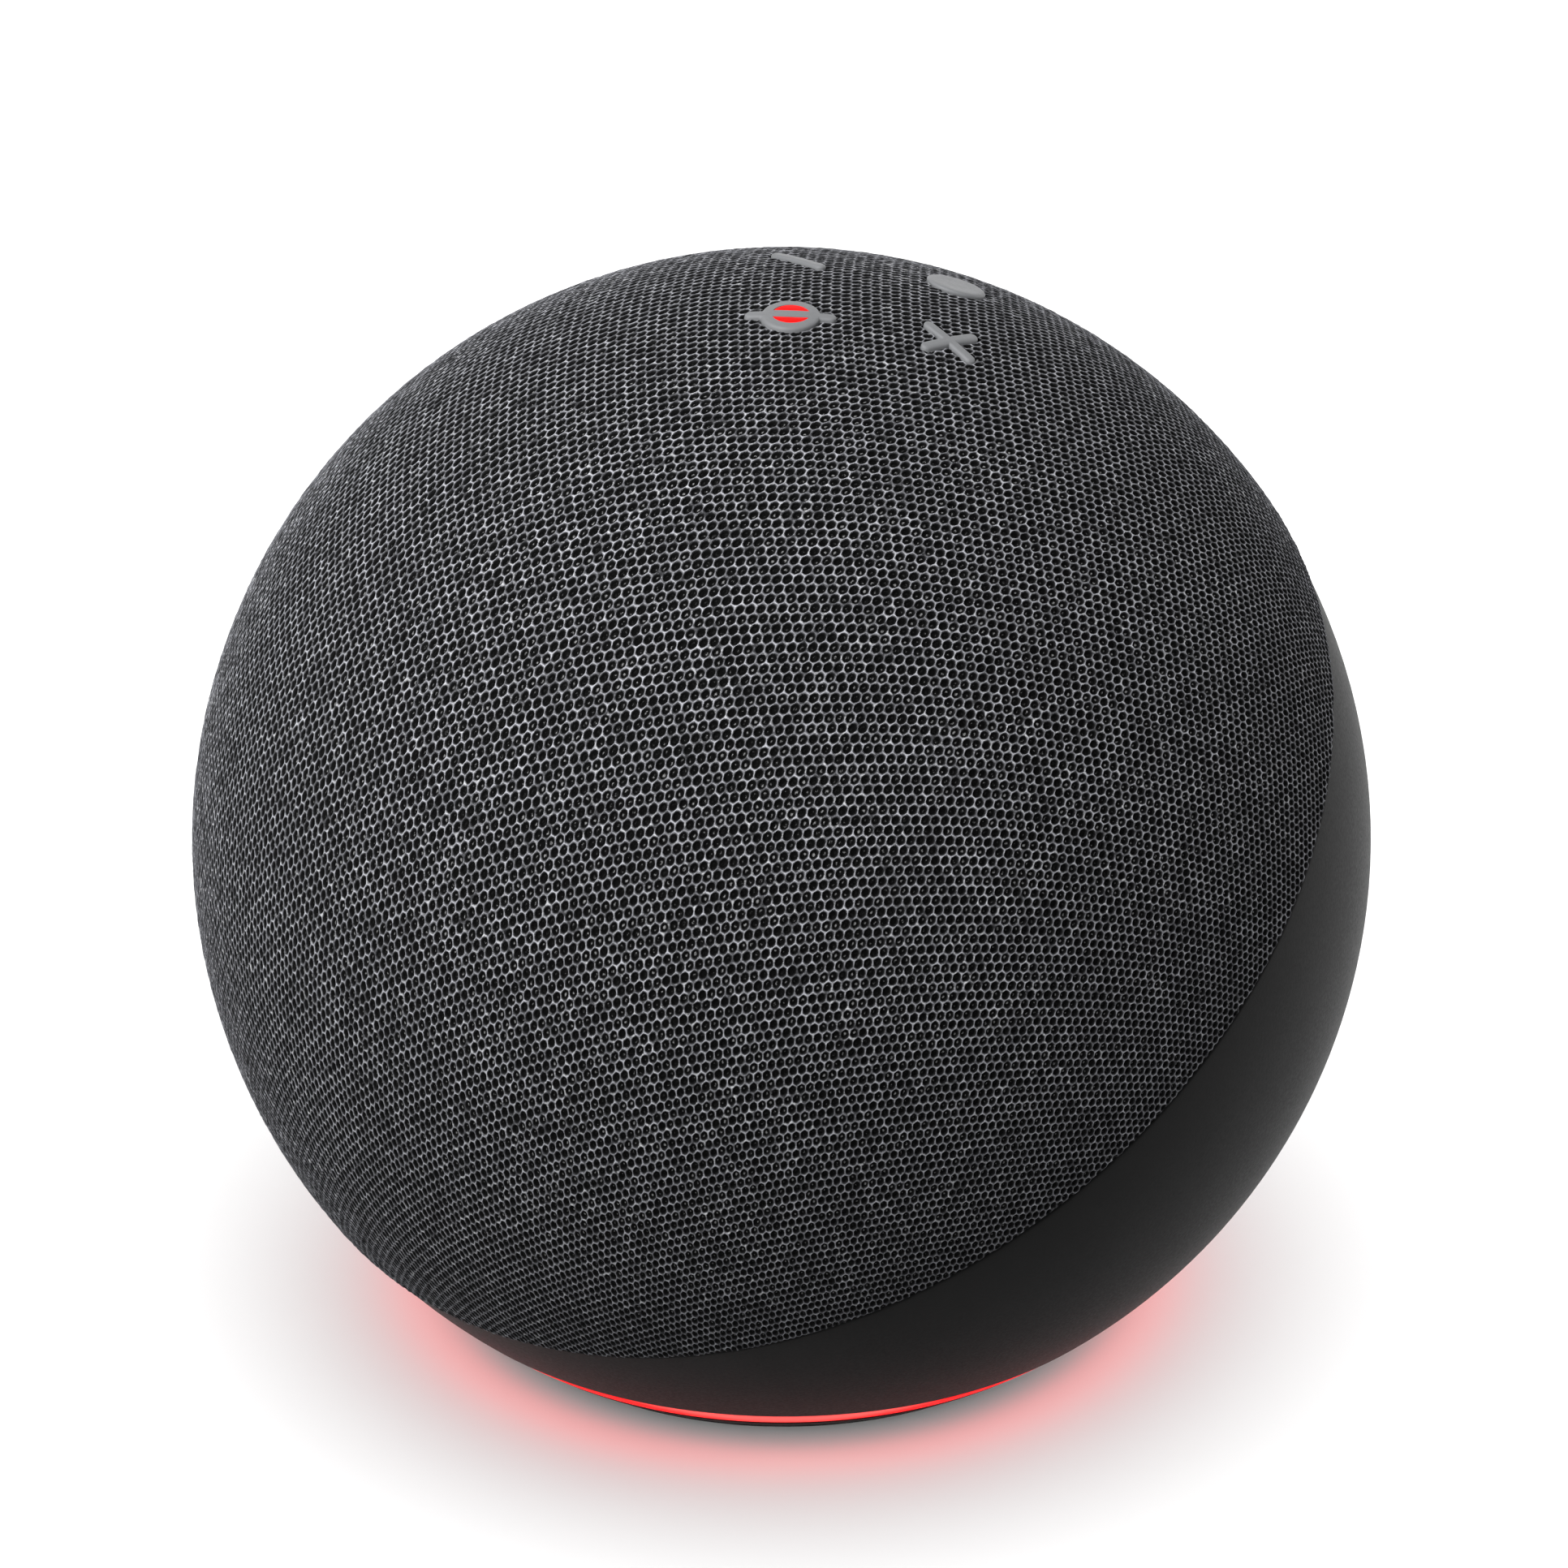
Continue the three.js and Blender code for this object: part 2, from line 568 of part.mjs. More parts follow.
add(face, "baffle", baffle(), blackPlastic);
add(face, "speaker_enclosure", chamber(), blackPlastic);
postPlaces.forEach(([x, y], i) => {
  const shape = screw(BAFFLE_TOP + GAP, BAFFLE_LOW - 10, 2.5, 1.9, 1.3);
  add(face, "baffle_screw_" + (i + 1), shape, steel).position.set(x, y, 0);
});

// ---------- woofer, from the underside of its flange ----------
const woofer = new THREE.Group();
woofer.position.z = WOOFER_Z;
face.add(woofer);

function basket() {
  const profile = [
    [13.5, -19.3], [26, -19.3], [26, -17.3], [36.9, 0], [WOOFER_FLANGE_R, 0],
    [WOOFER_FLANGE_R, 1.9], [36.2, 1.9], [34.6, -0.5], [24, -17.5], [13.5, -17.5],
  ];
  let shape = turned(profile, WOOFER_FACETS);
  for (let i = 0; i < 6; i += 1) {
    const window = block(13, 40, -13.5, -3.5, 0, 32);
    const turn = new THREE.Matrix4().makeRotationZ(rad(60 * i + 30));
    shape = shape.subtract(moved(window, turn));
  }
  for (const [x, y] of wooferScrewPlaces) {
    shape = shape.subtract(disc(WOOFER_SCREW_HOLE_R, -5, 5, SCREW_FACETS, x, y));
  }
  return shape;
}

// A half-round roll between a glued outer lip and a glued inner lip.
function surround() {
  const [middle, lift, roll, wall] = [33, 2.2, 2.6, 0.6];
  const half = (radius, from, to) => {
    const points = [];
    for (let i = 0; i <= 4; i += 1) {
      const angle = rad(from + ((to - from) * i) / 4);
      points.push([middle + radius * Math.cos(angle), lift + radius * Math.sin(angle)]);
    }
    return points;
  };
  const profile = [
    [40, lift], [40, lift + wall], ...half(roll + wall, 10, 170),
    [28.8, lift + wall], [28.8, lift], ...half(roll, 180, 0),
  ];
  return turned(profile, WOOFER_FACETS);
}

const coneProfile = [
  [10, -11.9], [28.6, 1.1], [30.2, 1.1], [30.2, 1.9], [28.4, 1.9], [10, -11],
];

function dustCap() {
  const profile = [[0, -6.6], [6, -7.1], [12, -9.2], [12, -8.7], [6, -6.5], [0, -6]];
  return turned(profile, WOOFER_FACETS);
}

// Corrugated disc that centres the coil.
function spider() {
  const [waves, from, to, level, swing, wall] = [2, 10.2, 24.2, -15.6, 0.8, 0.5];
  const steps = 3 * waves;
  const top = [];
  const bottom = [];
  for (let i = 0; i <= steps; i += 1) {
    const r = from + ((to - from) * i) / steps;
    const z = level + swing * Math.sin((i * 2 * Math.PI) / 3);
    top.push([r, z + wall]);
    bottom.push([r, z]);
  }
  return turned([...bottom, ...top.reverse()], WOOFER_FACETS);
}

const yokeProfile = [
  [0, -34], [24.5, -34], [24.5, -30.2], [8.7, -30.2], [8.7, -19.7], [0, -19.7],
];
const wooferScrewShape = () => screw(2.2, -6, 2, 1.6, 1.1);

add(woofer, "woofer_gasket", ring(37.8, 40.4, -1, -GAP, WOOFER_FACETS), rubber);
add(woofer, "woofer_basket", basket(), darkSteel);
add(woofer, "woofer_surround", surround(), rubber);
add(woofer, "woofer_cone", turned(coneProfile, WOOFER_FACETS), pulp);
add(woofer, "woofer_dust_cap", dustCap(), pulp);
add(woofer, "woofer_spider", spider(), amber);
add(woofer, "woofer_voice_coil", ring(9.1, 9.7, -26, -11.3, WOOFER_FACETS), copper);
add(woofer, "woofer_top_plate", ring(10.5, 23, -23.6, -19.6, WOOFER_FACETS), steel);
add(woofer, "woofer_magnet", ring(13, 26, -29.9, -23.9, WOOFER_FACETS), ferrite);
add(woofer, "woofer_yoke", turned(yokeProfile, WOOFER_FACETS), steel);
wooferScrewPlaces.forEach(([x, y], i) => {
  add(woofer, "woofer_screw_" + (i + 1), wooferScrewShape(), steel).position.set(x, y, 0);
});

// ---------- tweeters, along their own axes from the ball's centre ----------
const tweeterFrameProfile = [
  [6, 57.5], [10.2, 57.5], [10.2, 60.3], [13.4, 60.3], [13.4, 61.8], [9.4, 61.8],
  [9.4, 58.8], [6, 58.8],
];
const tweeterDomeProfile = [
  [0, 61.6], [4.5, 61.2], [7.6, 60.2], [9, 60.2], [9, 60.7], [7.6, 60.7], [4.5, 61.7], [0, 62.1],
];

for (const [label, side] of [["left", -1], ["right", 1]]) {
  const tweeter = frameGroup(tweeterFrame(side));
  const frame = turned(tweeterFrameProfile, SMALL_FACETS);
  const dome = turned(tweeterDomeProfile, SMALL_FACETS);
  const former = ring(7.7, 8.3, 59.4, 60.4, SMALL_FACETS);
  add(tweeter, "tweeter_" + label + "_frame", frame, blackPlastic);
  add(tweeter, "tweeter_" + label + "_dome", dome.add(former), pulp);
  add(tweeter, "tweeter_" + label + "_magnet", disc(9, 50.5, 57.2, SMALL_FACETS), ferrite);
}

// ---------- electronics ----------
const JACK_LOW = PORT_Z - 4.1;
const JACK_HIGH = PORT_Z + 4.1;
const JACK_FRONT_Y = PORT_FLOOR_Y - PORT_WALL - 0.9;

// The board carries three coils and a radio shield, all soldered to it.
function mainBoard() {
  let board = disc(MAIN_BOARD_R, MAIN_BOARD_LOW, MAIN_BOARD_TOP, SHELL_FACETS);
  board = board.subtract(block(30, 30, 10, 30, 0, 52));
  board = board.add(block(16, 14, MAIN_BOARD_LOW, MAIN_BOARD_TOP + 2.6, 24, 6));
  for (const [x, y] of [[-22, -12], [-22, 4], [20, -20]]) {
    board = board.add(block(7, 7, MAIN_BOARD_LOW, MAIN_BOARD_TOP + 1.2, x, y));
  }
  return board;
}

function heatSink() {
  let sink = block(26, 22, MAIN_BOARD_TOP + GAP, MAIN_BOARD_TOP + 1.8, 0, 4);
  for (let i = 0; i < 6; i += 1) {
    sink = sink.add(block(1.2, 22, MAIN_BOARD_TOP + 1, MAIN_BOARD_TOP + 4.8, -11 + 4.4 * i, 4));
  }
  return sink;
}

// A jack along +Y: a box with a tube that ends flush with the pocket's floor.
function jack(kind, x, boxWidth) {
  const toBase = (shape) => moved(shape, new THREE.Matrix4().makeTranslation(0, 0, CENTRE_Z));
  const tubeR = JACK_TUBE_R[kind];
  const length = 13;
  const middle = JACK_FRONT_Y - length / 2;
  const body = block(boxWidth, length, JACK_LOW, JACK_HIGH, x, middle);
  const tube = alongY(tubeR, middle, PORT_FLOOR_Y, x, PORT_Z, SMALL_FACETS);
  const bore = alongY(JACK_BORE_R[kind], PORT_FLOOR_Y - 10, 60, x, PORT_Z, SMALL_FACETS);
  let shape = body.add(toBase(tube)).subtract(toBase(bore));
  if (kind === "power") {
    const pin = alongY(0.8, PORT_FLOOR_Y - 11, PORT_FLOOR_Y - 1, x, PORT_Z, SCREW_FACETS);
    shape = shape.add(toBase(pin));
  }
  return shape;
}

// Flat cable from the button board down behind the chamber to the main board.
function ribbonCable() {
  const [inner, outer, width] = [59.6, 60.1, 10];
  const [start, end] = [rad(60), rad(-36.5)];
  const outline = new THREE.Shape();
  outline.absarc(0, 0, outer, end, start, false);
  outline.absarc(0, 0, inner, start, end, true);
  const band = new THREE.ExtrudeGeometry(outline, {
    depth: width,
    curveSegments: 14,
    bevelEnabled: false,
  });
  const upright = new THREE.Matrix4().makeBasis(
    new THREE.Vector3(0, 1, 0),
    new THREE.Vector3(0, 0, 1),
    new THREE.Vector3(1, 0, 0),
  );
  band.translate(0, 0, -width / 2).applyMatrix4(upright);
  return solid(band);
}

add(base, "main_board", mainBoard(), boardGreen);
add(base, "heat_sink", heatSink(), aluminium);
add(base, "power_jack", jack("power", JACK_X, 10.5), blackPlastic);
add(base, "audio_jack", jack("audio", -JACK_X, 8), blackPlastic);
add(base, "wifi_antenna", block(0.8, 20, 37, 45, 61.8, 0), boardGreen);
add(ball, "button_ribbon_cable", ribbonCable(), amber);

// ---------- base ----------
const belowCentre = (radius, z) => radiusAt(radius, CENTRE_Z - z);

const RING_MIDDLE = (RING_LOW + RING_TOP) / 2;
function lightRing() {
  const profile = [
    [39.1, RING_LOW], [belowCentre(RING_R, RING_LOW), RING_LOW],
    [belowCentre(RING_R, RING_MIDDLE), RING_MIDDLE], [belowCentre(RING_R, RING_TOP), RING_TOP],
    [43.2, RING_TOP], [43.2, 9], [40.6, 9], [39.1, 6.7],
  ];
  return turned(profile, SHELL_FACETS);
}

function ledBoard() {
  const LED_LOW = 9.3;
  let board = ring(36, 45, 10, 11.4, SHELL_FACETS);
  for (const [x, y] of aroundCircle(12, 41.8)) {
    board = board.add(block(2.4, 2.4, LED_LOW, 10.5, x, y));
  }
  return board;
}

function basePlate() {
  const boss = FOOT_INNER_R - GAP;
  let plate = turned(
    [
      [0, BASE_BOSS_LOW], [boss, BASE_BOSS_LOW], [boss, BASE_LOW], [BASE_R, BASE_LOW],
      [BASE_R, BASE_TOP], [0, BASE_TOP],
    ],
    SHELL_FACETS,
  );
  plate = plate.add(disc(7, BASE_TOP - 1, SOCKET_TOP, SMALL_FACETS));
  for (const [x, y] of baseScrewPlaces) {
    plate = plate.add(disc(BASE_BOSS_R, BASE_TOP - 1, FLOOR_RING_LOW - GAP, SMALL_FACETS, x, y));
    plate = plate.subtract(disc(SCREW_HOLE_R, 0, 20, SCREW_FACETS, x, y));
    plate = plate.subtract(disc(BASE_SCREW_WELL_R, 0, BASE_SCREW_SEAT, SMALL_FACETS, x, y));
  }
  return plate.subtract(disc(INSERT_R + GAP, 0, 20, SMALL_FACETS));
}

const footProfile = [
  [FOOT_INNER_R, 0], [belowCentre(SHELL_R, 0), 0],
  [belowCentre(SHELL_R, FOOT_TOP / 3), FOOT_TOP / 3],
  [belowCentre(SHELL_R, (2 * FOOT_TOP) / 3), (2 * FOOT_TOP) / 3],
  [belowCentre(SHELL_R, FOOT_TOP) - GAP, FOOT_TOP], [FOOT_INNER_R, FOOT_TOP],
];

const tripodInsert = () => ring(SOCKET_R, INSERT_R, BASE_BOSS_LOW, SOCKET_TOP, SMALL_FACETS);

add(base, "light_ring", lightRing(), redGlow);
add(base, "led_board", ledBoard(), boardGreen);
add(base, "base_plate", basePlate(), blackPlastic);
add(base, "rubber_foot", turned(footProfile, SHELL_FACETS), rubber);
add(base, "tripod_insert", tripodInsert(), brass);
baseScrewPlaces.forEach(([x, y], i) => {
  const mesh = add(base, "base_screw_" + (i + 1), screw(0, -8.8, 2.7, 1.7, 1.3), steel);
  mesh.rotation.x = Math.PI;
  mesh.position.set(x, y, BASE_SCREW_SEAT - GAP);
});

export default root;
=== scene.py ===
"""Ball-shaped smart speaker: its looks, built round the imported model. Lengths are in metres.

A knitted cover is stretched over the front and top half of the ball. A charcoal shell is the
rear and bottom half, and a light ring and a rubber foot are under it.
"""
import json
import math

import bmesh
import bpy
import numpy as np
from mathutils import Matrix, Vector


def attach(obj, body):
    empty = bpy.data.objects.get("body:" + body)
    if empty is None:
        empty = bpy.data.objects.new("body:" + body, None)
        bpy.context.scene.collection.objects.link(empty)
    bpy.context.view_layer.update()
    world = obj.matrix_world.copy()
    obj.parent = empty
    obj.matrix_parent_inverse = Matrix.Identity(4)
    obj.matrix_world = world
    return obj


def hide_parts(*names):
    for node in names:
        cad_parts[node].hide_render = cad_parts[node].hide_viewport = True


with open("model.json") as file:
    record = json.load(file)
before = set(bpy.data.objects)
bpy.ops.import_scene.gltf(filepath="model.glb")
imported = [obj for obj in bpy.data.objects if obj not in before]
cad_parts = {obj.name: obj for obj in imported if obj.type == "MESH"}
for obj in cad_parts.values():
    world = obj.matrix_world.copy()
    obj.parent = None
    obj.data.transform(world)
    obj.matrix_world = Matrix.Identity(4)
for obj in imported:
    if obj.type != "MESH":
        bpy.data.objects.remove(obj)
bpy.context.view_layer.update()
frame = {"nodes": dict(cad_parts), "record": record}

# ---------- driving dimensions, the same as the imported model's ----------
MM = 0.001
BALL_R = 72 * MM
CENTRE = np.array([0, 0, 60.6 * MM])
FACE_TILT = 34.1  # degrees from vertical to the cover's axis
KEY_TILT = -11.75  # degrees from vertical to the keys' axis
SEAM_Z = -2.9 * MM  # seam plane along the cover's axis
GAP = 0.3 * MM
SHELL_R = 71.35 * MM
SHELL_INNER_R = 69.3 * MM
SHELL_LOW_Z = 7.7 * MM
KEY_CIRCLE_R = 13.6 * MM
KEY_TOP_R = 72.3 * MM
KEY_LOW = 66 * MM  # underside of the caps along the keys' axis
KEY_BAR = (8.9 * MM, 1.4 * MM)
MUTE_BAR = (10.9 * MM, 1.4 * MM)
MUTE_BAR_ANGLE = math.radians(45)
MUTE_R = 3.55 * MM
ACTION_R = 3.65 * MM
WINDOW_R = 2.3 * MM
WINDOW_SPLIT = 1.5 * MM
PORT_Z = 20 * MM
PORT_FLOOR_Y = 53.3 * MM
PORT_WALL = 2 * MM
PORT_BAR = (34 * MM, 12 * MM)
JACK_X = 8 * MM
POWER_TUBE_R, AUDIO_TUBE_R = 4.2 * MM, 3 * MM
JACK_TUBE_LENGTH = 10 * MM
JACK_BOX_LENGTH = 13 * MM
JACK_HALF_HEIGHT = 4.1 * MM
WELD_DISTANCE = 1e-7
RING_LOW, RING_TOP = 4.25 * MM, 7.4 * MM  # the light ring's band over the resting face
RING_R = 71.3 * MM
RING_INNER_R = 39.1 * MM
RING_LAMP_R = (40.6 * MM, 43.2 * MM)  # the rib that stands up under the lamps
RING_LAMP_TOP = 9 * MM
FOOT_INNER_R = 24 * MM
FOOT_TOP = 3.95 * MM
BASE_LOW, BASE_SHELF, BASE_TOP = 1.2 * MM, 4.25 * MM, 7.4 * MM
BASE_INNER_R, BASE_R = 23.7 * MM, 38.3 * MM
SOCKET_TOP = 13 * MM  # top of the tripod insert and of the boss round it
SOCKET_BOSS_R = 7 * MM
INSERT_R, INSERT_INNER_R = 5 * MM, 3.15 * MM
SCREW_CIRCLE_R = 31.5 * MM
SCREW_BOSS_R = 3.4 * MM
SCREW_BOSS_SPAN = (6.4 * MM, 11.6 * MM)
SCREW_WELL_R = 3.1 * MM
SCREW_WELL_TOP = 7 * MM
SCREW_HOLE_R = 1.7 * MM

SEED = 7
rng = np.random.default_rng(SEED)


def frame_matrix(tilt):
    """From a frame tilted about X at the ball's centre to the row frame."""
    turn = Matrix.Rotation(math.radians(tilt), 4, "X")
    return np.array(Matrix.Translation(Vector(CENTRE)) @ turn)


FACE = frame_matrix(FACE_TILT)
KEYS = frame_matrix(KEY_TILT)
BASE = np.eye(4)


def placed(points, matrix):
    points = np.asarray(points, float)
    return points @ matrix[:3, :3].T + matrix[:3, 3]


# ---------- meshes ----------
def mesh_object(name, points, faces):
    """An object from arrays of points and of faces that all have the same number of corners."""
    faces = np.asarray(faces, np.int32)
    count, sides = faces.shape
    mesh = bpy.data.meshes.new(name)
    mesh.vertices.add(len(points))
    mesh.vertices.foreach_set("co", np.asarray(points, np.float32).ravel())
    mesh.loops.add(count * sides)
    mesh.loops.foreach_set("vertex_index", faces.ravel())
    mesh.polygons.add(count)
    mesh.polygons.foreach_set("loop_start", np.arange(0, count * sides, sides, dtype=np.int32))
    mesh.polygons.foreach_set("use_smooth", np.full(count, True))
    mesh.update(calc_edges=True)
    mesh.validate()
    made = bpy.data.objects.new(name, mesh)
    bpy.context.scene.collection.objects.link(made)
    return made


def point_attribute(made, name, values):
    attribute = made.data.attributes.new(name, "FLOAT", "POINT")
    attribute.data.foreach_set("value", np.asarray(values, np.float32))


def solid_object(name, points, faces, matrix):
    """A welded object from faces that may have any number of corners."""
    mesh = bpy.data.meshes.new(name)
    mesh.from_pydata([tuple(p) for p in placed(points, matrix)], [], faces)
    made = bpy.data.objects.new(name, mesh)
    bpy.context.scene.collection.objects.link(made)
    weld(made)
    return made


def crisp(made, degrees):
    """Smooth shading, with the edges that turn by more than an angle kept sharp."""
    made.data.polygons.foreach_set("use_smooth", np.full(len(made.data.polygons), True))
    made.data.set_sharp_from_angle(angle=math.radians(degrees))


def band(lower, upper, count):
    """Faces between two closed rows of points, given by the number of each row's first point."""
    i = np.arange(count)
    j = (i + 1) % count
    return np.stack([lower + i, lower + j, upper + j, upper + i], axis=1)


def lathe(name, profile, steps, matrix=BASE, closed=True):
    """A profile of (radius, height) turned about Z. A closed profile joins its last point to its
    first; an open one that starts and ends on the axis is capped there."""
    profile = np.asarray(profile, float)
    count = len(profile)
    angles = np.linspace(0, 2 * math.pi, steps, endpoint=False)
    x = np.outer(np.cos(angles), profile[:, 0])
    y = np.outer(np.sin(angles), profile[:, 0])
    z = np.tile(profile[:, 1], (steps, 1))
    points = np.stack([x, y, z], axis=2).reshape(-1, 3)
    i, j = np.meshgrid(np.arange(steps), np.arange(count if closed else count - 1), indexing="ij")
    following = (i + 1) % steps
    above = (j + 1) % count
    corners = [i * count + j, following * count + j, following * count + above, i * count + above]
    faces = np.stack(corners, axis=2).reshape(-1, 4)
    made = mesh_object(name, placed(points, matrix), faces)
    weld(made)
    return made


def weld(made):
    """Merges points that coincide, such as a lathe's on its axis, and turns the faces outwards."""
    cells = bmesh.new()
    cells.from_mesh(made.data)
    bmesh.ops.remove_doubles(cells, verts=cells.verts, dist=WELD_DISTANCE)
    bmesh.ops.dissolve_degenerate(cells, dist=WELD_DISTANCE, edges=cells.edges)
    bmesh.ops.recalc_face_normals(cells, faces=cells.faces)
    cells.to_mesh(made.data)
    cells.free()


def rod(name, radius, low, high, steps, matrix):
    """A plain cylinder along Z."""
    profile = [(0, low), (radius, low), (radius, high), (0, high)]
    return lathe(name, profile, steps, matrix, closed=False)


def arc(radius, start, end, steps):
    """Points (radius, height) of a circle, from one polar angle to another in degrees."""
    angles = np.radians(np.linspace(start, end, steps + 1))
    return [(radius * math.sin(a), radius * math.cos(a)) for a in angles]


def rounded(corners, steps):
    """A closed profile from corners (radius, height, size), each rounded by its size."""
    result = []
    count = len(corners)
    for i, (radius, height, size) in enumerate(corners):
        here = np.array([radius, height])
        if size == 0:
            result.append(tuple(here))
            continue
        before = np.array(corners[i - 1][:2]) - here
        after = np.array(corners[(i + 1) % count][:2]) - here
        start = here + before / np.linalg.norm(before) * size
        end = here + after / np.linalg.norm(after) * size
        for t in np.linspace(0, 1, steps + 1):
            result.append(tuple((1 - t) ** 2 * start + 2 * t * (1 - t) * here + t * t * end))
    return result


def stadium(size, steps=24):
    """Outline of a bar with round ends, anticlockwise, as points (x, y)."""
    length, width = size
    reach = (length - width) / 2
    right = np.linspace(-math.pi / 2, math.pi / 2, steps)
    left = right + math.pi
    points = [(reach + width / 2 * math.cos(a), width / 2 * math.sin(a)) for a in right]
    return points + [(-reach + width / 2 * math.cos(a), width / 2 * math.sin(a)) for a in left]


def prism(name, outlines, levels, matrix):
    """A solid through outlines at several levels; a level is a height or gives it from (x, y)."""
    count = len(outlines[0])
    points = []
    for outline, level in zip(outlines, levels):
        for x, y in outline:
            points.append((x, y, level(x, y) if callable(level) else level))
    rows = range(len(levels) - 1)
    sides = np.concatenate([band(k * count, (k + 1) * count, count) for k in rows])
    caps = [list(range(count))[::-1], list(range(len(rows) * count, len(levels) * count))]
    return solid_object(name, points, sides.tolist() + caps, matrix)


def combine(target, tools):
    """Applies boolean tools, given as (operation, object), in order, and removes them."""
    for operation, tool in tools:
        modifier = target.modifiers.new("combine", "BOOLEAN")
        modifier.operation = operation
        modifier.solver = "EXACT"
        modifier.object = tool
    bpy.context.view_layer.update()
    graph = bpy.context.evaluated_depsgraph_get()
    mesh = bpy.data.meshes.new_from_object(target.evaluated_get(graph))
    target.modifiers.clear()
    target.data = mesh
    for _, tool in tools:
        bpy.data.objects.remove(tool)


def joined(name, parts):
    """One object from several."""
    with bpy.context.temp_override(active_object=parts[0], selected_editable_objects=parts):
        bpy.ops.object.join()
    parts[0].name = name
    return parts[0]


# ---------- materials ----------
def nodes_of(name):
    made = bpy.data.materials.new(name)
    made.use_nodes = True
    tree = made.node_tree
    shader = tree.nodes["Principled BSDF"]
    place = tree.nodes.new("ShaderNodeTexCoord").outputs["Object"]
    return made, tree, shader, place


def noise(tree, place, scale, detail=4.0, stretch=(1, 1, 1)):
    mapping = tree.nodes.new("ShaderNodeMapping")
    mapping.inputs["Scale"].default_value = stretch
    texture = tree.nodes.new("ShaderNodeTexNoise")
    texture.inputs["Scale"].default_value = scale
    texture.inputs["Detail"].default_value = detail
    tree.links.new(place, mapping.inputs["Vector"])
    tree.links.new(mapping.outputs["Vector"], texture.inputs["Vector"])
    return texture.outputs["Fac"]


def ramp(tree, value, stops):
    """Colours by value; each stop is (place, grey) or (place, (red, green, blue))."""
    node = tree.nodes.new("ShaderNodeValToRGB")
    elements = node.color_ramp.elements
    while len(elements) < len(stops):
        elements.new(0.5)
    for element, (place, colour) in zip(elements, stops):
        element.position = place
        rgb = (colour,) * 3 if isinstance(colour, (int, float)) else colour
        element.color = (*rgb, 1)
    tree.links.new(value, node.inputs["Fac"])
    return node.outputs["Color"]


def remap(tree, value, low, high, start=0.0, end=1.0):
    node = tree.nodes.new("ShaderNodeMapRange")
    node.inputs["From Min"].default_value = start
    node.inputs["From Max"].default_value = end
    node.inputs["To Min"].default_value = low
    node.inputs["To Max"].default_value = high
    tree.links.new(value, node.inputs["Value"])
    return node.outputs["Result"]


def maths(tree, operation, first, second):
    node = tree.nodes.new("ShaderNodeMath")
    node.operation = operation
    for socket, value in zip(node.inputs, (first, second)):
        if isinstance(value, (int, float)):
            socket.default_value = value
        else:
            tree.links.new(value, socket)
    return node.outputs["Value"]


def mixed(tree, share, colour, tint):
    """A colour mixed with a fixed tint; the share of the tint comes from a socket."""
    node = tree.nodes.new("ShaderNodeMix")
    node.data_type = "RGBA"
    tree.links.new(share, node.inputs["Factor"])
    first, second = (socket for socket in node.inputs if socket.type == "RGBA")
    tree.links.new(colour, first)
    second.default_value = (*tint, 1)
    return next(socket for socket in node.outputs if socket.type == "RGBA")


def point_value(tree, name):
    """A value that the mesh carries at its points."""
    node = tree.nodes.new("ShaderNodeAttribute")
    node.attribute_name = name
    return node.outputs["Fac"]


def separated(tree, vector):
    node = tree.nodes.new("ShaderNodeSeparateXYZ")
    tree.links.new(vector, node.inputs["Vector"])
    return node.outputs


def bump(tree, shader, height, distance):
    node = tree.nodes.new("ShaderNodeBump")
    node.inputs["Distance"].default_value = distance
    tree.links.new(height, node.inputs["Height"])
    tree.links.new(node.outputs["Normal"], shader.inputs["Normal"])


def moulded(name, dark, light, rough, grain=900, depth=0.02, metallic=0.0, stretch=(1, 1, 1),
            specular=0.5):
    """Plastic, rubber or metal: colour clouds, a fine grain and roughness that varies with it."""
    made, tree, shader, place = nodes_of(name)
    clouds = noise(tree, place, 60, 3, stretch)
    fine = noise(tree, place, grain, 5, stretch)
    tree.links.new(ramp(tree, clouds, [(0.35, dark), (0.65, light)]), shader.inputs["Base Color"])
    tree.links.new(remap(tree, fine, rough - 0.06, rough + 0.06, 0.3, 0.7),
                   shader.inputs["Roughness"])
    shader.inputs["Metallic"].default_value = metallic
    shader.inputs["Specular IOR Level"].default_value = specular
    bump(tree, shader, fine, depth * MM)
    return made


def knit_face_material():
    """Melange yarn of the net's ribs, with painted shade: the colour runs from grey on the ribs
    down to black in the holes, which stands in for the shade down there. Light flecks of single
    fibres, most of them at the knots, are dimmed by the same painted shade lower down."""
    made, tree, shader, place = nodes_of("knit_face_yarn")
    level = point_value(tree, "crest")
    fibre = noise(tree, place, 2600, 4)
    fleck = noise(tree, place, 1500, 2)
    patch = noise(tree, place, 95, 3)
    wander = maths(tree, "MULTIPLY", maths(tree, "SUBTRACT", fibre, 0.5), 0.55)
    height = maths(tree, "ADD", level, wander)
    # Painted shade: the yarn gets darker the lower it lies on a rib, down to black at the foot of
    # each hole.
    stops = [(0.0, 0.001), (0.45, 0.004), (0.65, 0.05), (0.85, 0.22), (1.0, 0.42)]
    yarn_with_painted_shade = ramp(tree, height, [(x, (c * 0.97, c * 0.98, c * 1.06)) for x, c in stops])
    # Painted shade: the flecks are dimmer lower down the rib.
    flecks_with_depth_shade = maths(tree, "MULTIPLY", remap(tree, fleck, 0, 1, 0.58, 0.72),
                   remap(tree, level, 0, 1, 0.4, 0.9))
    spread = maths(tree, "MULTIPLY", flecks_with_depth_shade, remap(tree, patch, 0.25, 1.0, 0.35, 0.65))
    colour = mixed(tree, spread, yarn_with_painted_shade, (0.56, 0.565, 0.58))
    tree.links.new(colour, shader.inputs["Base Color"])
    shader.inputs["Roughness"].default_value = 0.85
    shader.inputs["Specular IOR Level"].default_value = 0.12
    bump(tree, shader, fibre, 0.08 * MM)
    return made


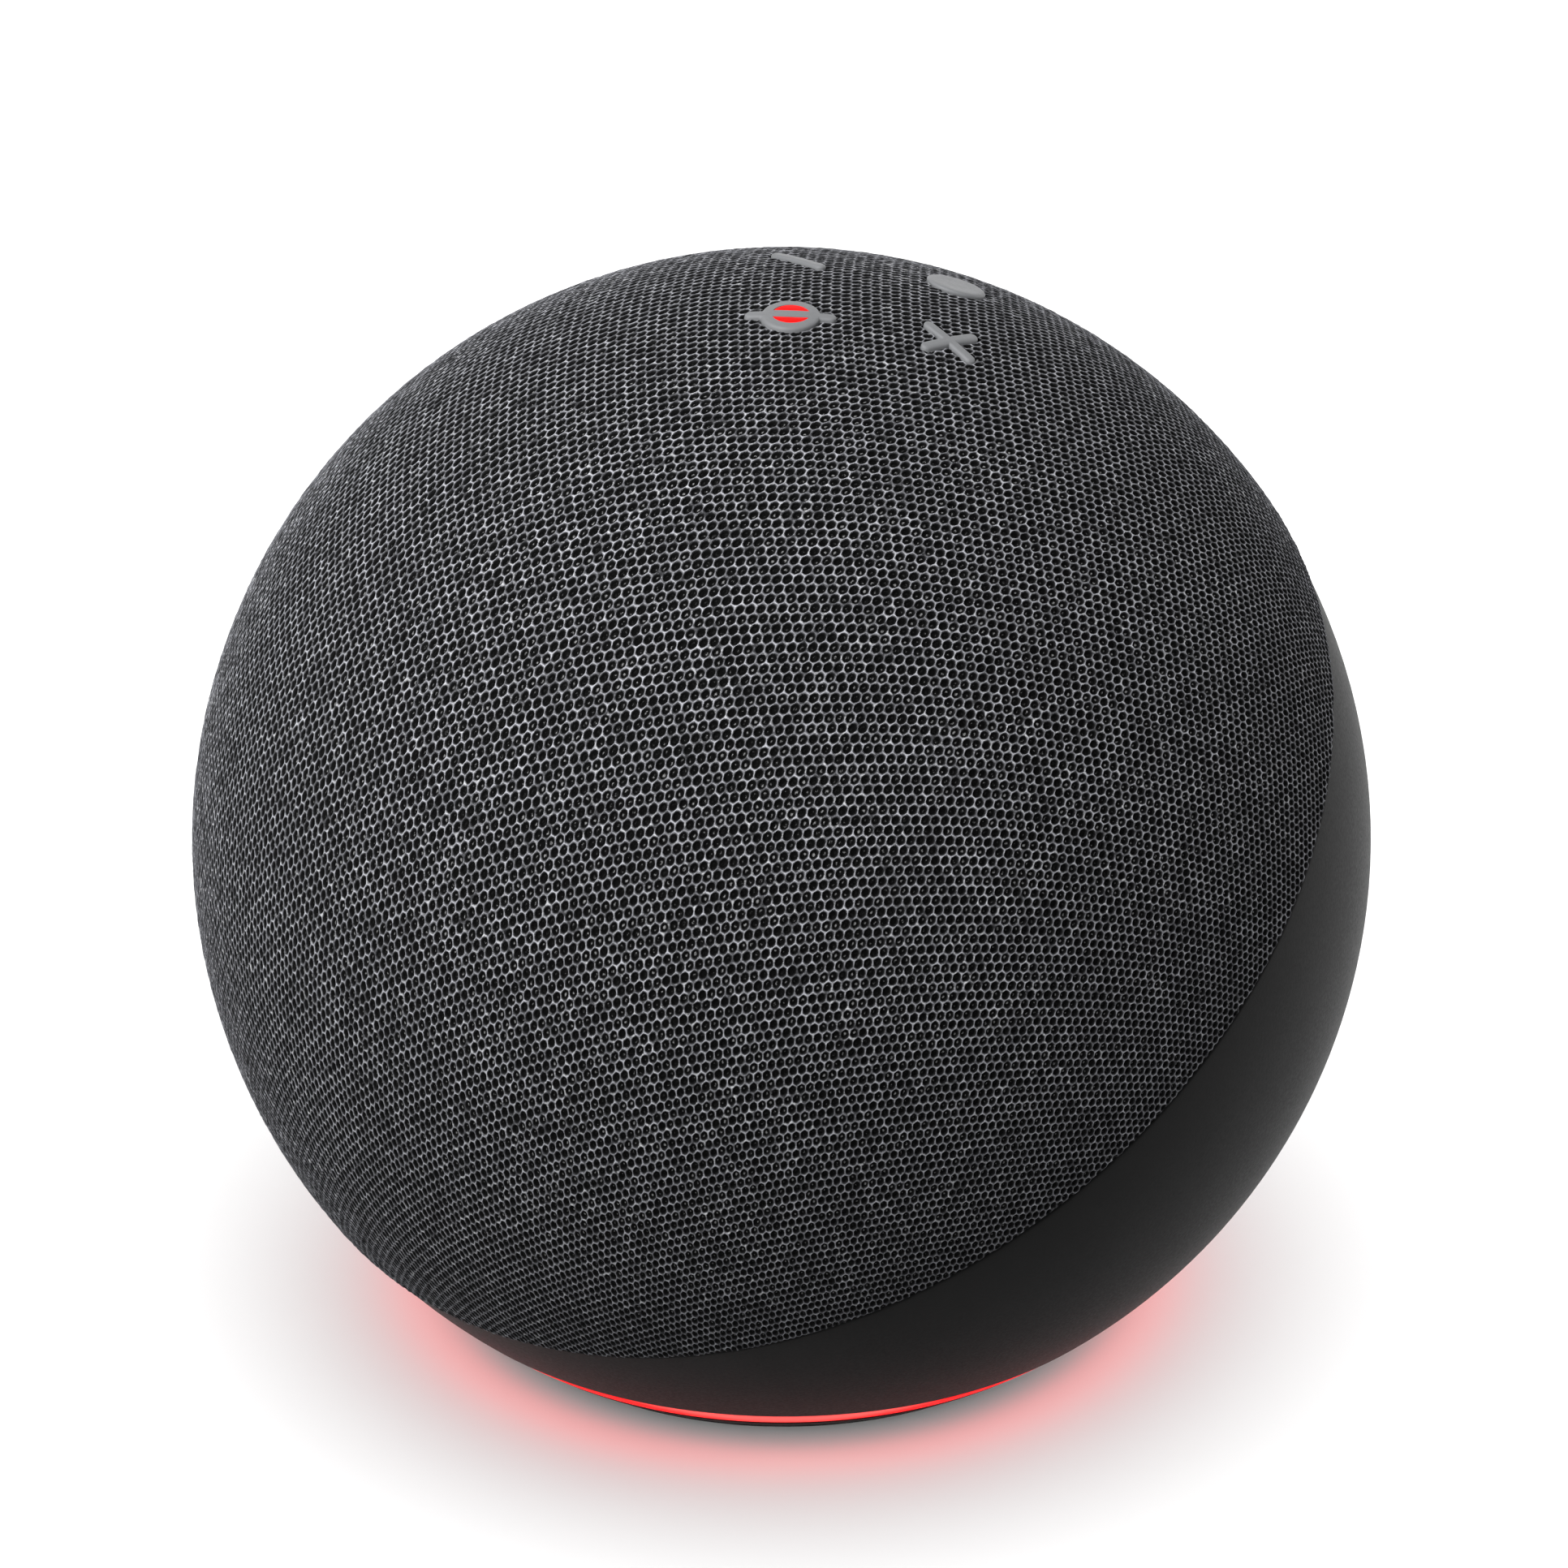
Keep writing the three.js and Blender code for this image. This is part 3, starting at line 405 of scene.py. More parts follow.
def knit_ground_material():
    """The darker ground of the cover behind the net, with loose fibres across it; the fibres are
    painted dimmer towards each hole's corners, under the ribs, as painted shade.
    """
    made, tree, shader, place = nodes_of("knit_ground_yarn")
    level = point_value(tree, "middle")
    strand = noise(tree, place, 1700, 5, (1.6, 1, 1))
    sharp = remap(tree, strand, 0, 1, 0.46, 0.62)
    # Painted shade: the fibres dim towards the corners of each hole, under the ribs.
    fibres_with_edge_shade = maths(tree, "MULTIPLY", sharp, remap(tree, level, 0.0, 1, 0.45, 0.85))
    colour = ramp(tree, fibres_with_edge_shade, [(0.0, 0.001), (0.5, 0.008), (1.0, 0.22)])
    tree.links.new(colour, shader.inputs["Base Color"])
    shader.inputs["Roughness"].default_value = 0.9
    shader.inputs["Specular IOR Level"].default_value = 0.08
    bump(tree, shader, strand, 0.12 * MM)
    return made


def light_ring_material():
    """Frosted guide lit red from inside, with a painted highlight: the arc that faces the camera,
    forward and right, is painted paler, standing in for the lamps' bright core seen head-on.
    """
    made, tree, shader, place = nodes_of("red_light_guide")
    parts = separated(tree, place)
    # Painted highlight: a paler lobe towards the camera's side of the ring.
    along = maths(tree, "ADD", maths(tree, "MULTIPLY", parts["X"], 0.75),
                  maths(tree, "MULTIPLY", parts["Y"], -0.66))
    painted_camera_highlight = remap(tree, along, 0, 1, 43 * MM, 45.6 * MM)
    red = ramp(tree, painted_camera_highlight, [(0.0, (1.0, 0.004, 0.006)), (1.0, (1.0, 0.11, 0.10))])
    tree.links.new(red, shader.inputs["Emission Color"])
    shader.inputs["Base Color"].default_value = (0.25, 0.0, 0.0, 1)
    shader.inputs["Emission Strength"].default_value = 1.15
    shader.inputs["Roughness"].default_value = 0.5
    shader.inputs["Specular IOR Level"].default_value = 0.1
    return made


def lens_material():
    made, tree, shader, place = nodes_of("red_key_light")
    cloudy = noise(tree, place, 500, 2)
    red = ramp(tree, cloudy, [(0.3, (1.0, 0.0, 0.0)), (0.7, (1.0, 0.006, 0.005))])
    tree.links.new(red, shader.inputs["Emission Color"])
    shader.inputs["Base Color"].default_value = (0.2, 0.0, 0.0, 1)
    shader.inputs["Emission Strength"].default_value = 1.0
    shader.inputs["Roughness"].default_value = 0.5
    shader.inputs["Specular IOR Level"].default_value = 0.1
    return made


FINISHES = {
    "knit_fabric": knit_ground_material(),
    "charcoal_shell": moulded("charcoal_shell", 0.017, 0.020, 0.46, 2600, 0.012, specular=0.03),
    "red_light_guide": light_ring_material(),
    "black_rubber": moulded("black_rubber", 0.010, 0.014, 0.75, 1500, 0.03, specular=0.3),
    "grey_keys": moulded("grey_keys", (0.162, 0.166, 0.172), (0.180, 0.184, 0.190), 0.5,
                         2200, 0.015, specular=0.3),
    "circuit_board": moulded("circuit_board", (0.004, 0.035, 0.018), (0.008, 0.055, 0.03), 0.4,
                             700),
    "plated_steel": moulded("plated_steel", 0.42, 0.5, 0.32, 900, 0.01, 1.0, (1, 1, 0.05)),
    "dark_steel": moulded("dark_steel", 0.05, 0.07, 0.4, 900, 0.02, 1.0),
    "ferrite": moulded("ferrite", 0.018, 0.026, 0.7, 500, 0.05),
    "aluminium_fins": moulded("aluminium_fins", 0.55, 0.62, 0.38, 900, 0.01, 1.0, (1, 0.05, 1)),
    "brass_insert": moulded("brass_insert", (0.5, 0.33, 0.11), (0.6, 0.42, 0.16), 0.32,
                            900, 0.01, 1.0),
    "copper_coil": moulded("copper_coil", (0.5, 0.17, 0.07), (0.62, 0.24, 0.1), 0.4,
                           3000, 0.05, 1.0),
    "black_cone": moulded("black_cone", 0.012, 0.022, 0.85, 1200, 0.08),
    "amber_spider": moulded("amber_spider", (0.32, 0.17, 0.05), (0.42, 0.24, 0.08), 0.8,
                            1800, 0.1),
    "amber_film": moulded("amber_film", (0.35, 0.16, 0.03), (0.45, 0.22, 0.05), 0.35, 300, 0.01),
    "black_plastic": moulded("black_plastic", 0.012, 0.017, 0.5, 1800, 0.02),
}
KNIT_FACE = knit_face_material()
KEY_LIGHT = lens_material()


def dress(made, slot, material=None):
    made.data.materials.clear()
    made.data.materials.append(material or FINISHES[slot])


def finish_carried_nodes():
    """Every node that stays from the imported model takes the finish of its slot."""
    for part in frame["record"]["subparts"]:
        slot = part["material_slot"]
        for name in part.get("nodes") or [part.get("node")]:
            node = frame["nodes"][name]
            node.data.materials.clear()
            node.data.materials.append(FINISHES[slot])


# ---------- key outlines ----------
KEY_PLACES = {
    "mute_button": (0, -KEY_CIRCLE_R),
    "action_button": (0, KEY_CIRCLE_R),
    "volume_up_button": (KEY_CIRCLE_R, 0),
    "volume_down_button": (-KEY_CIRCLE_R, 0),
}


def bar_distance(x, y, size, angle=0.0):
    """Distance outside a bar with round ends; it is negative inside."""
    along = np.abs(x * math.cos(angle) + y * math.sin(angle))
    across = -x * math.sin(angle) + y * math.cos(angle)
    reach = (size[0] - size[1]) / 2
    return np.hypot(np.maximum(along - reach, 0), across) - size[1] / 2


def key_distance(name, x, y):
    """Distance outside a key's outline, in the keys' frame."""
    x = x - KEY_PLACES[name][0]
    y = y - KEY_PLACES[name][1]
    if name == "volume_down_button":
        return bar_distance(x, y, KEY_BAR)
    if name == "volume_up_button":
        upright = bar_distance(x, y, KEY_BAR, math.pi / 2)
        return np.minimum(bar_distance(x, y, KEY_BAR), upright)
    if name == "action_button":
        return np.hypot(x, y) - ACTION_R
    arms = bar_distance(x, y, MUTE_BAR, MUTE_BAR_ANGLE)
    return np.minimum(np.hypot(x, y) - MUTE_R, arms)


def nearest_key_distance(x, y):
    return np.min([key_distance(name, x, y) for name in KEY_PLACES], axis=0)


# ---------- knitted cover ----------
# The knit is a net of six-sided holes. It is laid out on the flat blank, whose middle is on the
# cover's axis, and a distance on the blank is nearly the same along the ball.
KNIT_A = np.array([0.959, 0.866]) * MM  # steps from a hole to two of its neighbours
KNIT_B = np.array([1.008, -0.8375]) * MM
BLANK_SPREAD = 0.012  # how much wider the blank's distance grows towards the edge
HOLE = np.array([0.50, 0.69]) * MM  # half sizes of a hole
FLOOR_SHARE = 0.74  # size of a hole's foot over its rim's
RIB_DEPTH = 0.42 * MM
RIM_DEPTH = 0.10 * MM
GROUND_DEPTH = 0.46 * MM
GROUND_RISE = 0.20 * MM
CREST_DEPTH = 0.05 * MM
# The rim's level in the painted shade that runs down each rib, from black at the foot to grey at
# the crest.
RIM_SHADE_LEVEL = 0.58  # where a hole's rim lies in the yarn's shading, from its foot to the crest
CORNER_WANDER = 0.022 * MM  # how unevenly the yarn lies
CREST_WANDER = 0.03 * MM
HOLE_WANDER = 0.035
GROUND_WANDER = 0.08 * MM
SMALLEST_FACE = 1e-11
EDGE_ROLL = 0.55 * MM
KEY_CLEARANCE = 0.1 * MM
KEY_ROLL = 0.25 * MM
KNIT_SECTIONS = 6
EDGE_ANGLE = math.acos((SEAM_Z + GAP) / BALL_R)


def blank_distance(angle):
    return BALL_R * angle * (1 + BLANK_SPREAD * angle * angle)


def ball_directions(blank):
    """Unit vectors in the cover's frame of points on the blank."""
    distance = np.hypot(blank[..., 0], blank[..., 1])
    angle = distance / BALL_R
    for _ in range(6):
        angle = distance / BALL_R / (1 + BLANK_SPREAD * angle * angle)
    angle = np.minimum(angle, EDGE_ANGLE)
    turn = np.arctan2(blank[..., 1], blank[..., 0])
    flat = np.sin(angle)
    return np.stack([flat * np.cos(turn), flat * np.sin(turn), np.cos(angle)], axis=-1)


FACE_TO_KEYS = np.linalg.inv(KEYS)[:3, :3] @ FACE[:3, :3]


def clear_of_keys(directions):
    """Moves points in a key's hole out to its edge, and gives each point's distance to it."""
    local = directions @ FACE_TO_KEYS.T * BALL_R
    x, y, z = local[..., 0].copy(), local[..., 1].copy(), local[..., 2]
    step = 0.01 * MM
    near = (z > 0) & (nearest_key_distance(x, y) < KEY_CLEARANCE)
    for _ in range(8):
        px, py = x[near], y[near]
        here = nearest_key_distance(px, py)
        slope_x = (nearest_key_distance(px + step, py) - here) / step
        slope_y = (nearest_key_distance(px, py + step) - here) / step
        push = np.maximum(KEY_CLEARANCE - here, 0)
        x[near] = px + slope_x * push
        y[near] = py + slope_y * push
    distance = np.where(z > 0, nearest_key_distance(x, y) - KEY_CLEARANCE, 1.0)
    z = np.where(near, np.sqrt(np.maximum(BALL_R**2 - x * x - y * y, 0)), z)
    moved = np.stack([x, y, z], axis=-1) @ FACE_TO_KEYS / BALL_R
    return moved, distance


def rolled(distance, radius):
    """How far a surface sinks at a distance from an edge that it rolls over."""
    left = np.clip(radius - distance, 0, radius)
    return radius - np.sqrt(np.maximum(radius**2 - left**2, 0))


def on_cover(blank, depth):
    """Points of the cover at a depth under its outside, in the row frame."""
    directions, key_gap = clear_of_keys(ball_directions(blank))
    edge_gap = (EDGE_ANGLE - np.arccos(np.clip(directions[..., 2], -1, 1))) * BALL_R
    sink = depth + rolled(edge_gap, EDGE_ROLL) + rolled(key_gap, KEY_ROLL)
    points = directions * (BALL_R - sink)[..., None]
    return placed(points.reshape(-1, 3), FACE).reshape(points.shape)


def knit_cells():
    """Numbers (i, j) of the holes that lie on the cover, at least in part."""
    limit = blank_distance(EDGE_ANGLE)
    count = math.ceil(limit / (np.linalg.norm(KNIT_A) * 0.6))
    i, j = np.meshgrid(np.arange(-count, count + 1), np.arange(-count, count + 1))
    cells = np.stack([i.ravel(), j.ravel()], axis=1)
    middles = cells[:, :1] * KNIT_A + cells[:, 1:] * KNIT_B
    inside = np.hypot(middles[:, 0], middles[:, 1]) < limit + 0.45 * MM
    cells, middles = cells[inside], middles[inside]
    local = ball_directions(middles) @ FACE_TO_KEYS.T * BALL_R
    open_here = (local[:, 2] < 0) | (nearest_key_distance(local[:, 0], local[:, 1]) > -0.1 * MM)
    return cells[open_here], middles[open_here]


def knit_corners(cells):
    """The two kinds of corner where three ribs meet, numbered so that neighbours share them.

    Gives, for each hole, its six corners' numbers in order round it, and every corner's place.
    """
    right = [(0, 0, 0), (1, 1, 0), (0, 0, -1), (1, 0, 0), (0, -1, 0), (1, 0, 1)]
    keys = []
    for kind, di, dj in right:
        shifted = cells + [di, dj]
        keys.append(np.column_stack([np.full(len(cells), kind), shifted]))
    every = np.concatenate(keys)
    unique, number = np.unique(every, axis=0, return_inverse=True)
    number = number.reshape(len(keys), len(cells)).T
    offset = (KNIT_A + KNIT_B) / 3
    middles = unique[:, 1:2] * KNIT_A + unique[:, 2:3] * KNIT_B
    return number, middles + np.where(unique[:, :1] == 0, offset, -offset)


def hole_ring(middles, corners, share, spread, twice):
    """Points round each hole: towards its corners, and between them if twice is set."""
    around = corners - middles[:, None]
    angles = np.arctan2(around[..., 1], around[..., 0])
    if twice:
        step = (np.roll(angles, -1, axis=1) - angles) % (2 * math.pi)
        angles = np.stack([angles, angles + step / 2], axis=2).reshape(len(middles), -1)
    ellipse = np.stack([HOLE[0] * np.cos(angles), HOLE[1] * np.sin(angles)], axis=-1)
    return middles[:, None] + ellipse * share * spread[:, None, None]


def without_slivers(points, faces):
    """The faces without those that the edges of the cover have squeezed flat."""
    a, b, c = (points[faces[:, k]] for k in range(3))
    area = np.linalg.norm(np.cross(b - a, c - a), axis=1) / 2
    return faces[area > SMALLEST_FACE]


def knit_cover():
    """The cover in two layers: a closed ground, and a net of ribs on it in sections."""
    cells, middles = knit_cells()
    number, corner_blank = knit_corners(cells)
    corner_blank = corner_blank + rng.normal(0, CORNER_WANDER, corner_blank.shape)
    corner_lift = rng.normal(0, CREST_WANDER, len(corner_blank))
    corner_crest = np.clip(0.9 + rng.normal(0, 0.1, len(corner_blank)), 0.6, 1.2)
    spread = 1 + rng.normal(0, HOLE_WANDER, len(cells))
    corners = corner_blank[number]
    rim = hole_ring(middles, corners, 1, spread, True)
    foot = hole_ring(middles, corners, FLOOR_SHARE, spread, False)

    # The ground: six triangles behind each hole, raised in the middle.
    ground_corner = on_cover(corner_blank, np.full(len(corner_blank), GROUND_DEPTH))
    bulge = GROUND_DEPTH - GROUND_RISE * rng.uniform(0.5, 1.0, len(cells))
    ground_middle = on_cover(middles + rng.normal(0, GROUND_WANDER, middles.shape), bulge)
    points = np.concatenate([ground_corner, ground_middle])
    hub = len(ground_corner) + np.arange(len(cells))
    faces = [np.stack([hub, number[:, k], number[:, (k + 1) % 6]], axis=1) for k in range(6)]
    ground = mesh_object("knitted_cover", points, without_slivers(points, np.concatenate(faces)))
    # Level 1 in each hole's middle, 0 at its corners; it drives the ground's painted shade under
    # the ribs.
    level = np.concatenate([np.zeros(len(ground_corner)), np.ones(len(cells))])
    point_attribute(ground, "middle", level)
    dress(ground, "knit_fabric")
    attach(ground, "housing")
    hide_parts("fabric_cover")

    # The face: ribs round each hole, in sections side by side.
    turn = np.arctan2(middles[:, 1], middles[:, 0]) / (2 * math.pi) % 1
    section = np.floor(turn * KNIT_SECTIONS).astype(int)
    crest_points = on_cover(corner_blank, np.maximum(CREST_DEPTH + corner_lift, 0))
    sections = []
    for k in range(KNIT_SECTIONS):
        mine = section == k
        made = knit_section(f"knit_face_{k + 1}", number[mine], crest_points, corner_crest,
                            rim[mine], foot[mine])
        sections.append(made)
    return ground, sections


def knit_section(name, number, crest_points, corner_crest, rim, foot):
    """Ribs round some holes, from the crests between them to each rim and down to its foot."""
    count = len(number)
    used, local = np.unique(number, return_inverse=True)
    local = local.reshape(number.shape)
    rim_points = on_cover(rim, np.full(rim.shape[:2], RIM_DEPTH)).reshape(-1, 3)
    foot_points = on_cover(foot, np.full(foot.shape[:2], RIB_DEPTH)).reshape(-1, 3)
    points = np.concatenate([crest_points[used], rim_points, foot_points])
    rim_at = len(used) + 12 * np.arange(count)
    foot_at = len(used) + 12 * count + 6 * np.arange(count)
    faces = []
    for k in range(6):
        here, after = local[:, k], local[:, (k + 1) % 6]
        first, between, last = (rim_at + (2 * k + step) % 12 for step in range(3))
        low, low_after = foot_at + k, foot_at + (k + 1) % 6
        for triangle in (
            (here, after, between), (here, between, first), (after, last, between),
            (first, between, low), (between, low_after, low), (between, last, low_after),
        ):
            faces.append(np.stack(triangle, axis=1))
    made = mesh_object(name, points, without_slivers(points, np.concatenate(faces)))
    # Levels of the painted shade down the ribs: crest, rim, then black at the foot.
    levels = [corner_crest[used], np.full(12 * count, RIM_SHADE_LEVEL), np.zeros(6 * count)]
    point_attribute(made, "crest", np.concatenate(levels))
    dress(made, "knit_fabric", KNIT_FACE)
    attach(made, "housing")
    return made


# ---------- rear shell ----------
MOUTH_R = 48.18 * MM  # the shell's opening for the base
PORT_FLARE = 1.6 * MM


def polar(radius, height):
    return math.degrees(math.acos(height / radius))


def port_place(x):
    """A frame whose Z axis points to the rear, at the ports' height."""
    return np.array(Matrix.Translation((x, 0, PORT_Z)) @ Matrix.Rotation(-math.pi / 2, 4, "X"))


def rear_shell():
    """The bowl with its rounded lip, its mouth for the base, and the port pocket."""
    lip = 0.45 * MM
    lip_angle = math.degrees(lip / SHELL_R)
    outer = polar(SHELL_R, SEAM_Z)
    inner = polar(SHELL_INNER_R, SEAM_Z)
    round_lip = []
    for t in np.linspace(0, 1, 6):
        turn = t * math.pi / 2
        radius = SHELL_R - lip * (1 - math.sin(turn))
        height = SEAM_Z - lip * (1 - math.cos(turn))
        round_lip.append((math.sqrt(radius**2 - height**2), height))
    profile = (
        [(math.sqrt(SHELL_INNER_R**2 - SEAM_Z**2), SEAM_Z)]
        + round_lip
        + arc(SHELL_R, outer + 1.5 * lip_angle, 180, 64)
        + arc(SHELL_INNER_R, 180, inner + 1, 48)
    )
    shell = lathe("rear_shell_moulding", profile, 192, FACE)
    pocket = port_place(0)
    walls = tuple(size + 2 * PORT_WALL for size in PORT_BAR)
    tray = prism("tray", [stadium(walls)] * 2, (PORT_FLOOR_Y - PORT_WALL, 80 * MM), pocket)
    ball = lathe("ball", arc(SHELL_R - 0.01 * MM, 0, 180, 96), 192, frame_matrix(0), closed=False)
    combine(tray, [("INTERSECT", ball)])
    edge = SHELL_LOW_Z + 0.05 * MM
    mouth = lathe(
        "mouth",
        [(0, -30 * MM), (90 * MM, -30 * MM), (90 * MM, SHELL_LOW_Z - 4 * MM),
         (MOUTH_R + 0.2 * MM, SHELL_LOW_Z), (MOUTH_R - 0.25 * MM, edge), (0, edge)],
        192, closed=False,
    )
    # The pocket widens towards its mouth, which softens its edge.
    wide = tuple(size + PORT_FLARE for size in PORT_BAR)
    flare = [stadium(PORT_BAR), stadium(PORT_BAR), stadium(wide)]
    hollow = prism("hollow", flare, (PORT_FLOOR_Y, 69.5 * MM, 90 * MM), pocket)
    tools = [("UNION", tray), ("DIFFERENCE", mouth), ("DIFFERENCE", hollow)]
    for x, tube_r in ((JACK_X, POWER_TUBE_R), (-JACK_X, AUDIO_TUBE_R)):
        hole = rod("hole", tube_r + GAP, 45 * MM, 60 * MM, 48, port_place(x))
        tools.append(("DIFFERENCE", hole))
    combine(shell, tools)
    crisp(shell, 25)
    dress(shell, "charcoal_shell")
    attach(shell, "housing")
    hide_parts("rear_shell")


# ---------- keys ----------
KEY_FILLET = 0.38 * MM
DISH_R = 2.56 * MM  # radius of the round key's dish
DISH_SLOPE = 0.5 * MM


def level_point(name, angle, inset):
    """Distance from a key's middle, at an angle, to the line that lies inset inside its outline."""
    place_x, place_y = KEY_PLACES[name]
    low, high = 0.0, 8 * MM
    for _ in range(40):
        middle = (low + high) / 2
        x = place_x + middle * math.cos(angle)
        y = place_y + middle * math.sin(angle)
        if key_distance(name, x, y) < -inset:
            low = middle
        else:
            high = middle
    return low


def outline_angles(name, count=144):
    """Angles from a key's middle at which its outline is evenly divided."""
    fine = np.linspace(0, 2 * math.pi, 1440, endpoint=False)
    reach = np.array([level_point(name, a, 0) for a in fine])
    points = np.stack([reach * np.cos(fine), reach * np.sin(fine)], axis=1)
    steps = np.linalg.norm(np.roll(points, -1, axis=0) - points, axis=1)
    travelled = np.concatenate([[0], np.cumsum(steps)])
    wanted = np.linspace(0, travelled[-1], count, endpoint=False)
    return np.interp(wanted, travelled, np.append(fine, 2 * math.pi))


def key_cap(name, body, dish=0.0):
    """A cap with a softly rounded edge whose top follows the ball."""
    place = np.array(KEY_PLACES[name])
    angles = outline_angles(name)
    directions = np.stack([np.cos(angles), np.sin(angles)], axis=1)
    rings = []
    for share in (0.0, 0.07, 0.22, 0.44, 0.7, 1.0):
        width = KEY_FILLET * share
        reach = np.array([level_point(name, a, width) for a in angles])
        drop = KEY_FILLET - math.sqrt(max(KEY_FILLET**2 - (KEY_FILLET - width) ** 2, 0))
        rings.append((reach, drop))
    last = rings[-1][0]
    for share in (0.75, 0.5, 0.25):
        rings.append((last * share, 0.0))
    points = []
    outline = rings[0][0]
    for low in (KEY_LOW, KEY_LOW + 2 * MM):
        flat = place + directions * outline[:, None]
        points.append(np.column_stack([flat, np.full(len(flat), low)]))
    for reach, drop in rings:
        flat = place + directions * reach[:, None]
        top = np.sqrt(KEY_TOP_R**2 - (flat**2).sum(axis=1)) - drop
        if dish:
            top = top - dish * np.clip((DISH_R - reach) / DISH_SLOPE, 0, 1)
        points.append(np.column_stack([flat, top]))
    count = len(angles)
    rows = range(len(points) - 1)
    quads = np.concatenate([band(k * count, (k + 1) * count, count) for k in rows])
    centre_top = math.sqrt(KEY_TOP_R**2 - (place**2).sum()) - dish
    points = np.concatenate(points + [[[*place, KEY_LOW], [*place, centre_top]]])
    low_hub, top_hub = len(points) - 2, len(points) - 1
    top_row = len(rows) * count
    caps = []
    for a in range(count):
        b = (a + 1) % count
        caps.append([b, a, low_hub])
        caps.append([top_row + a, top_row + b, top_hub])
    made = solid_object(name + "_cap", points, quads.tolist() + caps, KEYS)
    crisp(made, 50)
    dress(made, "grey_keys")
    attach(made, body)
    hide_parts(name)
    return made


def half_moon(side, radius, split, steps=28):
    """Outline of one half-moon beside the mute key's bar, as points (x, y)."""
    edge = math.asin(split / 2 / radius)
    angles = np.linspace(edge, math.pi - edge, steps)
    points = [(radius * math.cos(a), radius * math.sin(a)) for a in angles]
    turn = MUTE_BAR_ANGLE + (0 if side > 0 else math.pi)
    spun = [(x * math.cos(turn) - y * math.sin(turn), x * math.sin(turn) + y * math.cos(turn))
            for x, y in points]
    place = KEY_PLACES["mute_button"]
    return [(x + place[0], y + place[1]) for x, y in spun]


def scaled(outline, share):
    middle = np.mean(outline, axis=0)
    return [tuple(middle + (np.array(p) - middle) * share) for p in outline]


def under_top(depth):
    """Height of the caps' top, less a depth, over a point in the keys' frame."""
    return lambda x, y: math.sqrt(KEY_TOP_R**2 - x * x - y * y) - depth


def mute_key():
    """The cap has two half-moon windows, and a red lens stands in them."""
    cap = key_cap("mute_button", "mute_key")
    tools = []
    lenses = []
    for side in (1, -1):
        hole = half_moon(side, WINDOW_R, WINDOW_SPLIT)
        levels = (under_top(1 * MM), under_top(0.08 * MM), under_top(-1 * MM))
        window = prism("window", [hole, hole, scaled(hole, 1.08)], levels, KEYS)
        tools.append(("DIFFERENCE", window))
        glass = half_moon(side, WINDOW_R - 0.03 * MM, WINDOW_SPLIT + 0.06 * MM)
        outlines = [glass, glass, scaled(glass, 0.94), scaled(glass, 0.8)]
        depths = (1.2 * MM, 0.1 * MM, 0.04 * MM, 0.02 * MM)
        lenses.append(prism("lens", outlines, [under_top(depth) for depth in depths], KEYS))
    combine(cap, tools)
    crisp(cap, 40)
    lens = joined("mute_light_windows", lenses)
    crisp(lens, 40)
    dress(lens, "red_light_guide", KEY_LIGHT)
    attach(lens, "mute_key")
    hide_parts("mute_light_lens")


# ---------- base ----------
def ball_radius_at(radius, height):
    return math.sqrt(radius**2 - (CENTRE[2] - height) ** 2)


def light_ring():
    """The guide: its band shows under the shell, and a rib inside stands up to the lamps."""
    heights = np.linspace(RING_LOW + 0.15 * MM, RING_TOP - 0.15 * MM, 7)
    front = [(ball_radius_at(RING_R, z), z) for z in heights]
    lamp_inner, lamp_outer = RING_LAMP_R
    profile = (
        [(RING_INNER_R, RING_LOW), (front[0][0] - 0.2 * MM, RING_LOW)]
        + front
        + [(front[-1][0] - 0.1 * MM, RING_TOP), (lamp_outer, RING_TOP),
           (lamp_outer, RING_LAMP_TOP), (lamp_inner, RING_LAMP_TOP),
           (RING_INNER_R, RING_TOP - 0.7 * MM)]
    )
    made = lathe("light_ring_guide", profile, 192)
    crisp(made, 40)
    dress(made, "red_light_guide")
    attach(made, "housing")
    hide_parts("light_ring")


def grooves(radii, level, half_width, slope, depth):
    """Round grooves cut upwards into a flat underside, as points (radius, height)."""
    points = []
    for radius in radii:
        for step, rise in ((-half_width, 0), (slope - half_width, depth),
                           (half_width - slope, depth), (half_width, 0)):
            points.append((radius + step, level + rise))
    return points


def rubber_foot():
    """The ring the ball stands on, with fine grooves in its sole."""
    heights = np.linspace(0.5 * MM, FOOT_TOP - 0.4 * MM, 9)
    side = [(ball_radius_at(SHELL_R, z), z) for z in heights]
    start = side[0][0]
    profile = (
        [(FOOT_INNER_R, 0.4 * MM), (FOOT_INNER_R + 0.12 * MM, 0.1 * MM),
         (FOOT_INNER_R + 0.4 * MM, 0)]
        + grooves(np.arange(27.2, 35.5, 1.5) * MM, 0, 0.35 * MM, 0.15 * MM, 0.25 * MM)
        + [(start - 0.9 * MM, 0), (start - 0.35 * MM, 0.12 * MM)]
        + side
        + [(side[-1][0] - 0.4 * MM, FOOT_TOP), (FOOT_INNER_R, FOOT_TOP)]
    )
    made = lathe("rubber_foot_ring", profile, 160)
    crisp(made, 50)
    dress(made, "black_rubber")
    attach(made, "housing")
    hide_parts("rubber_foot")


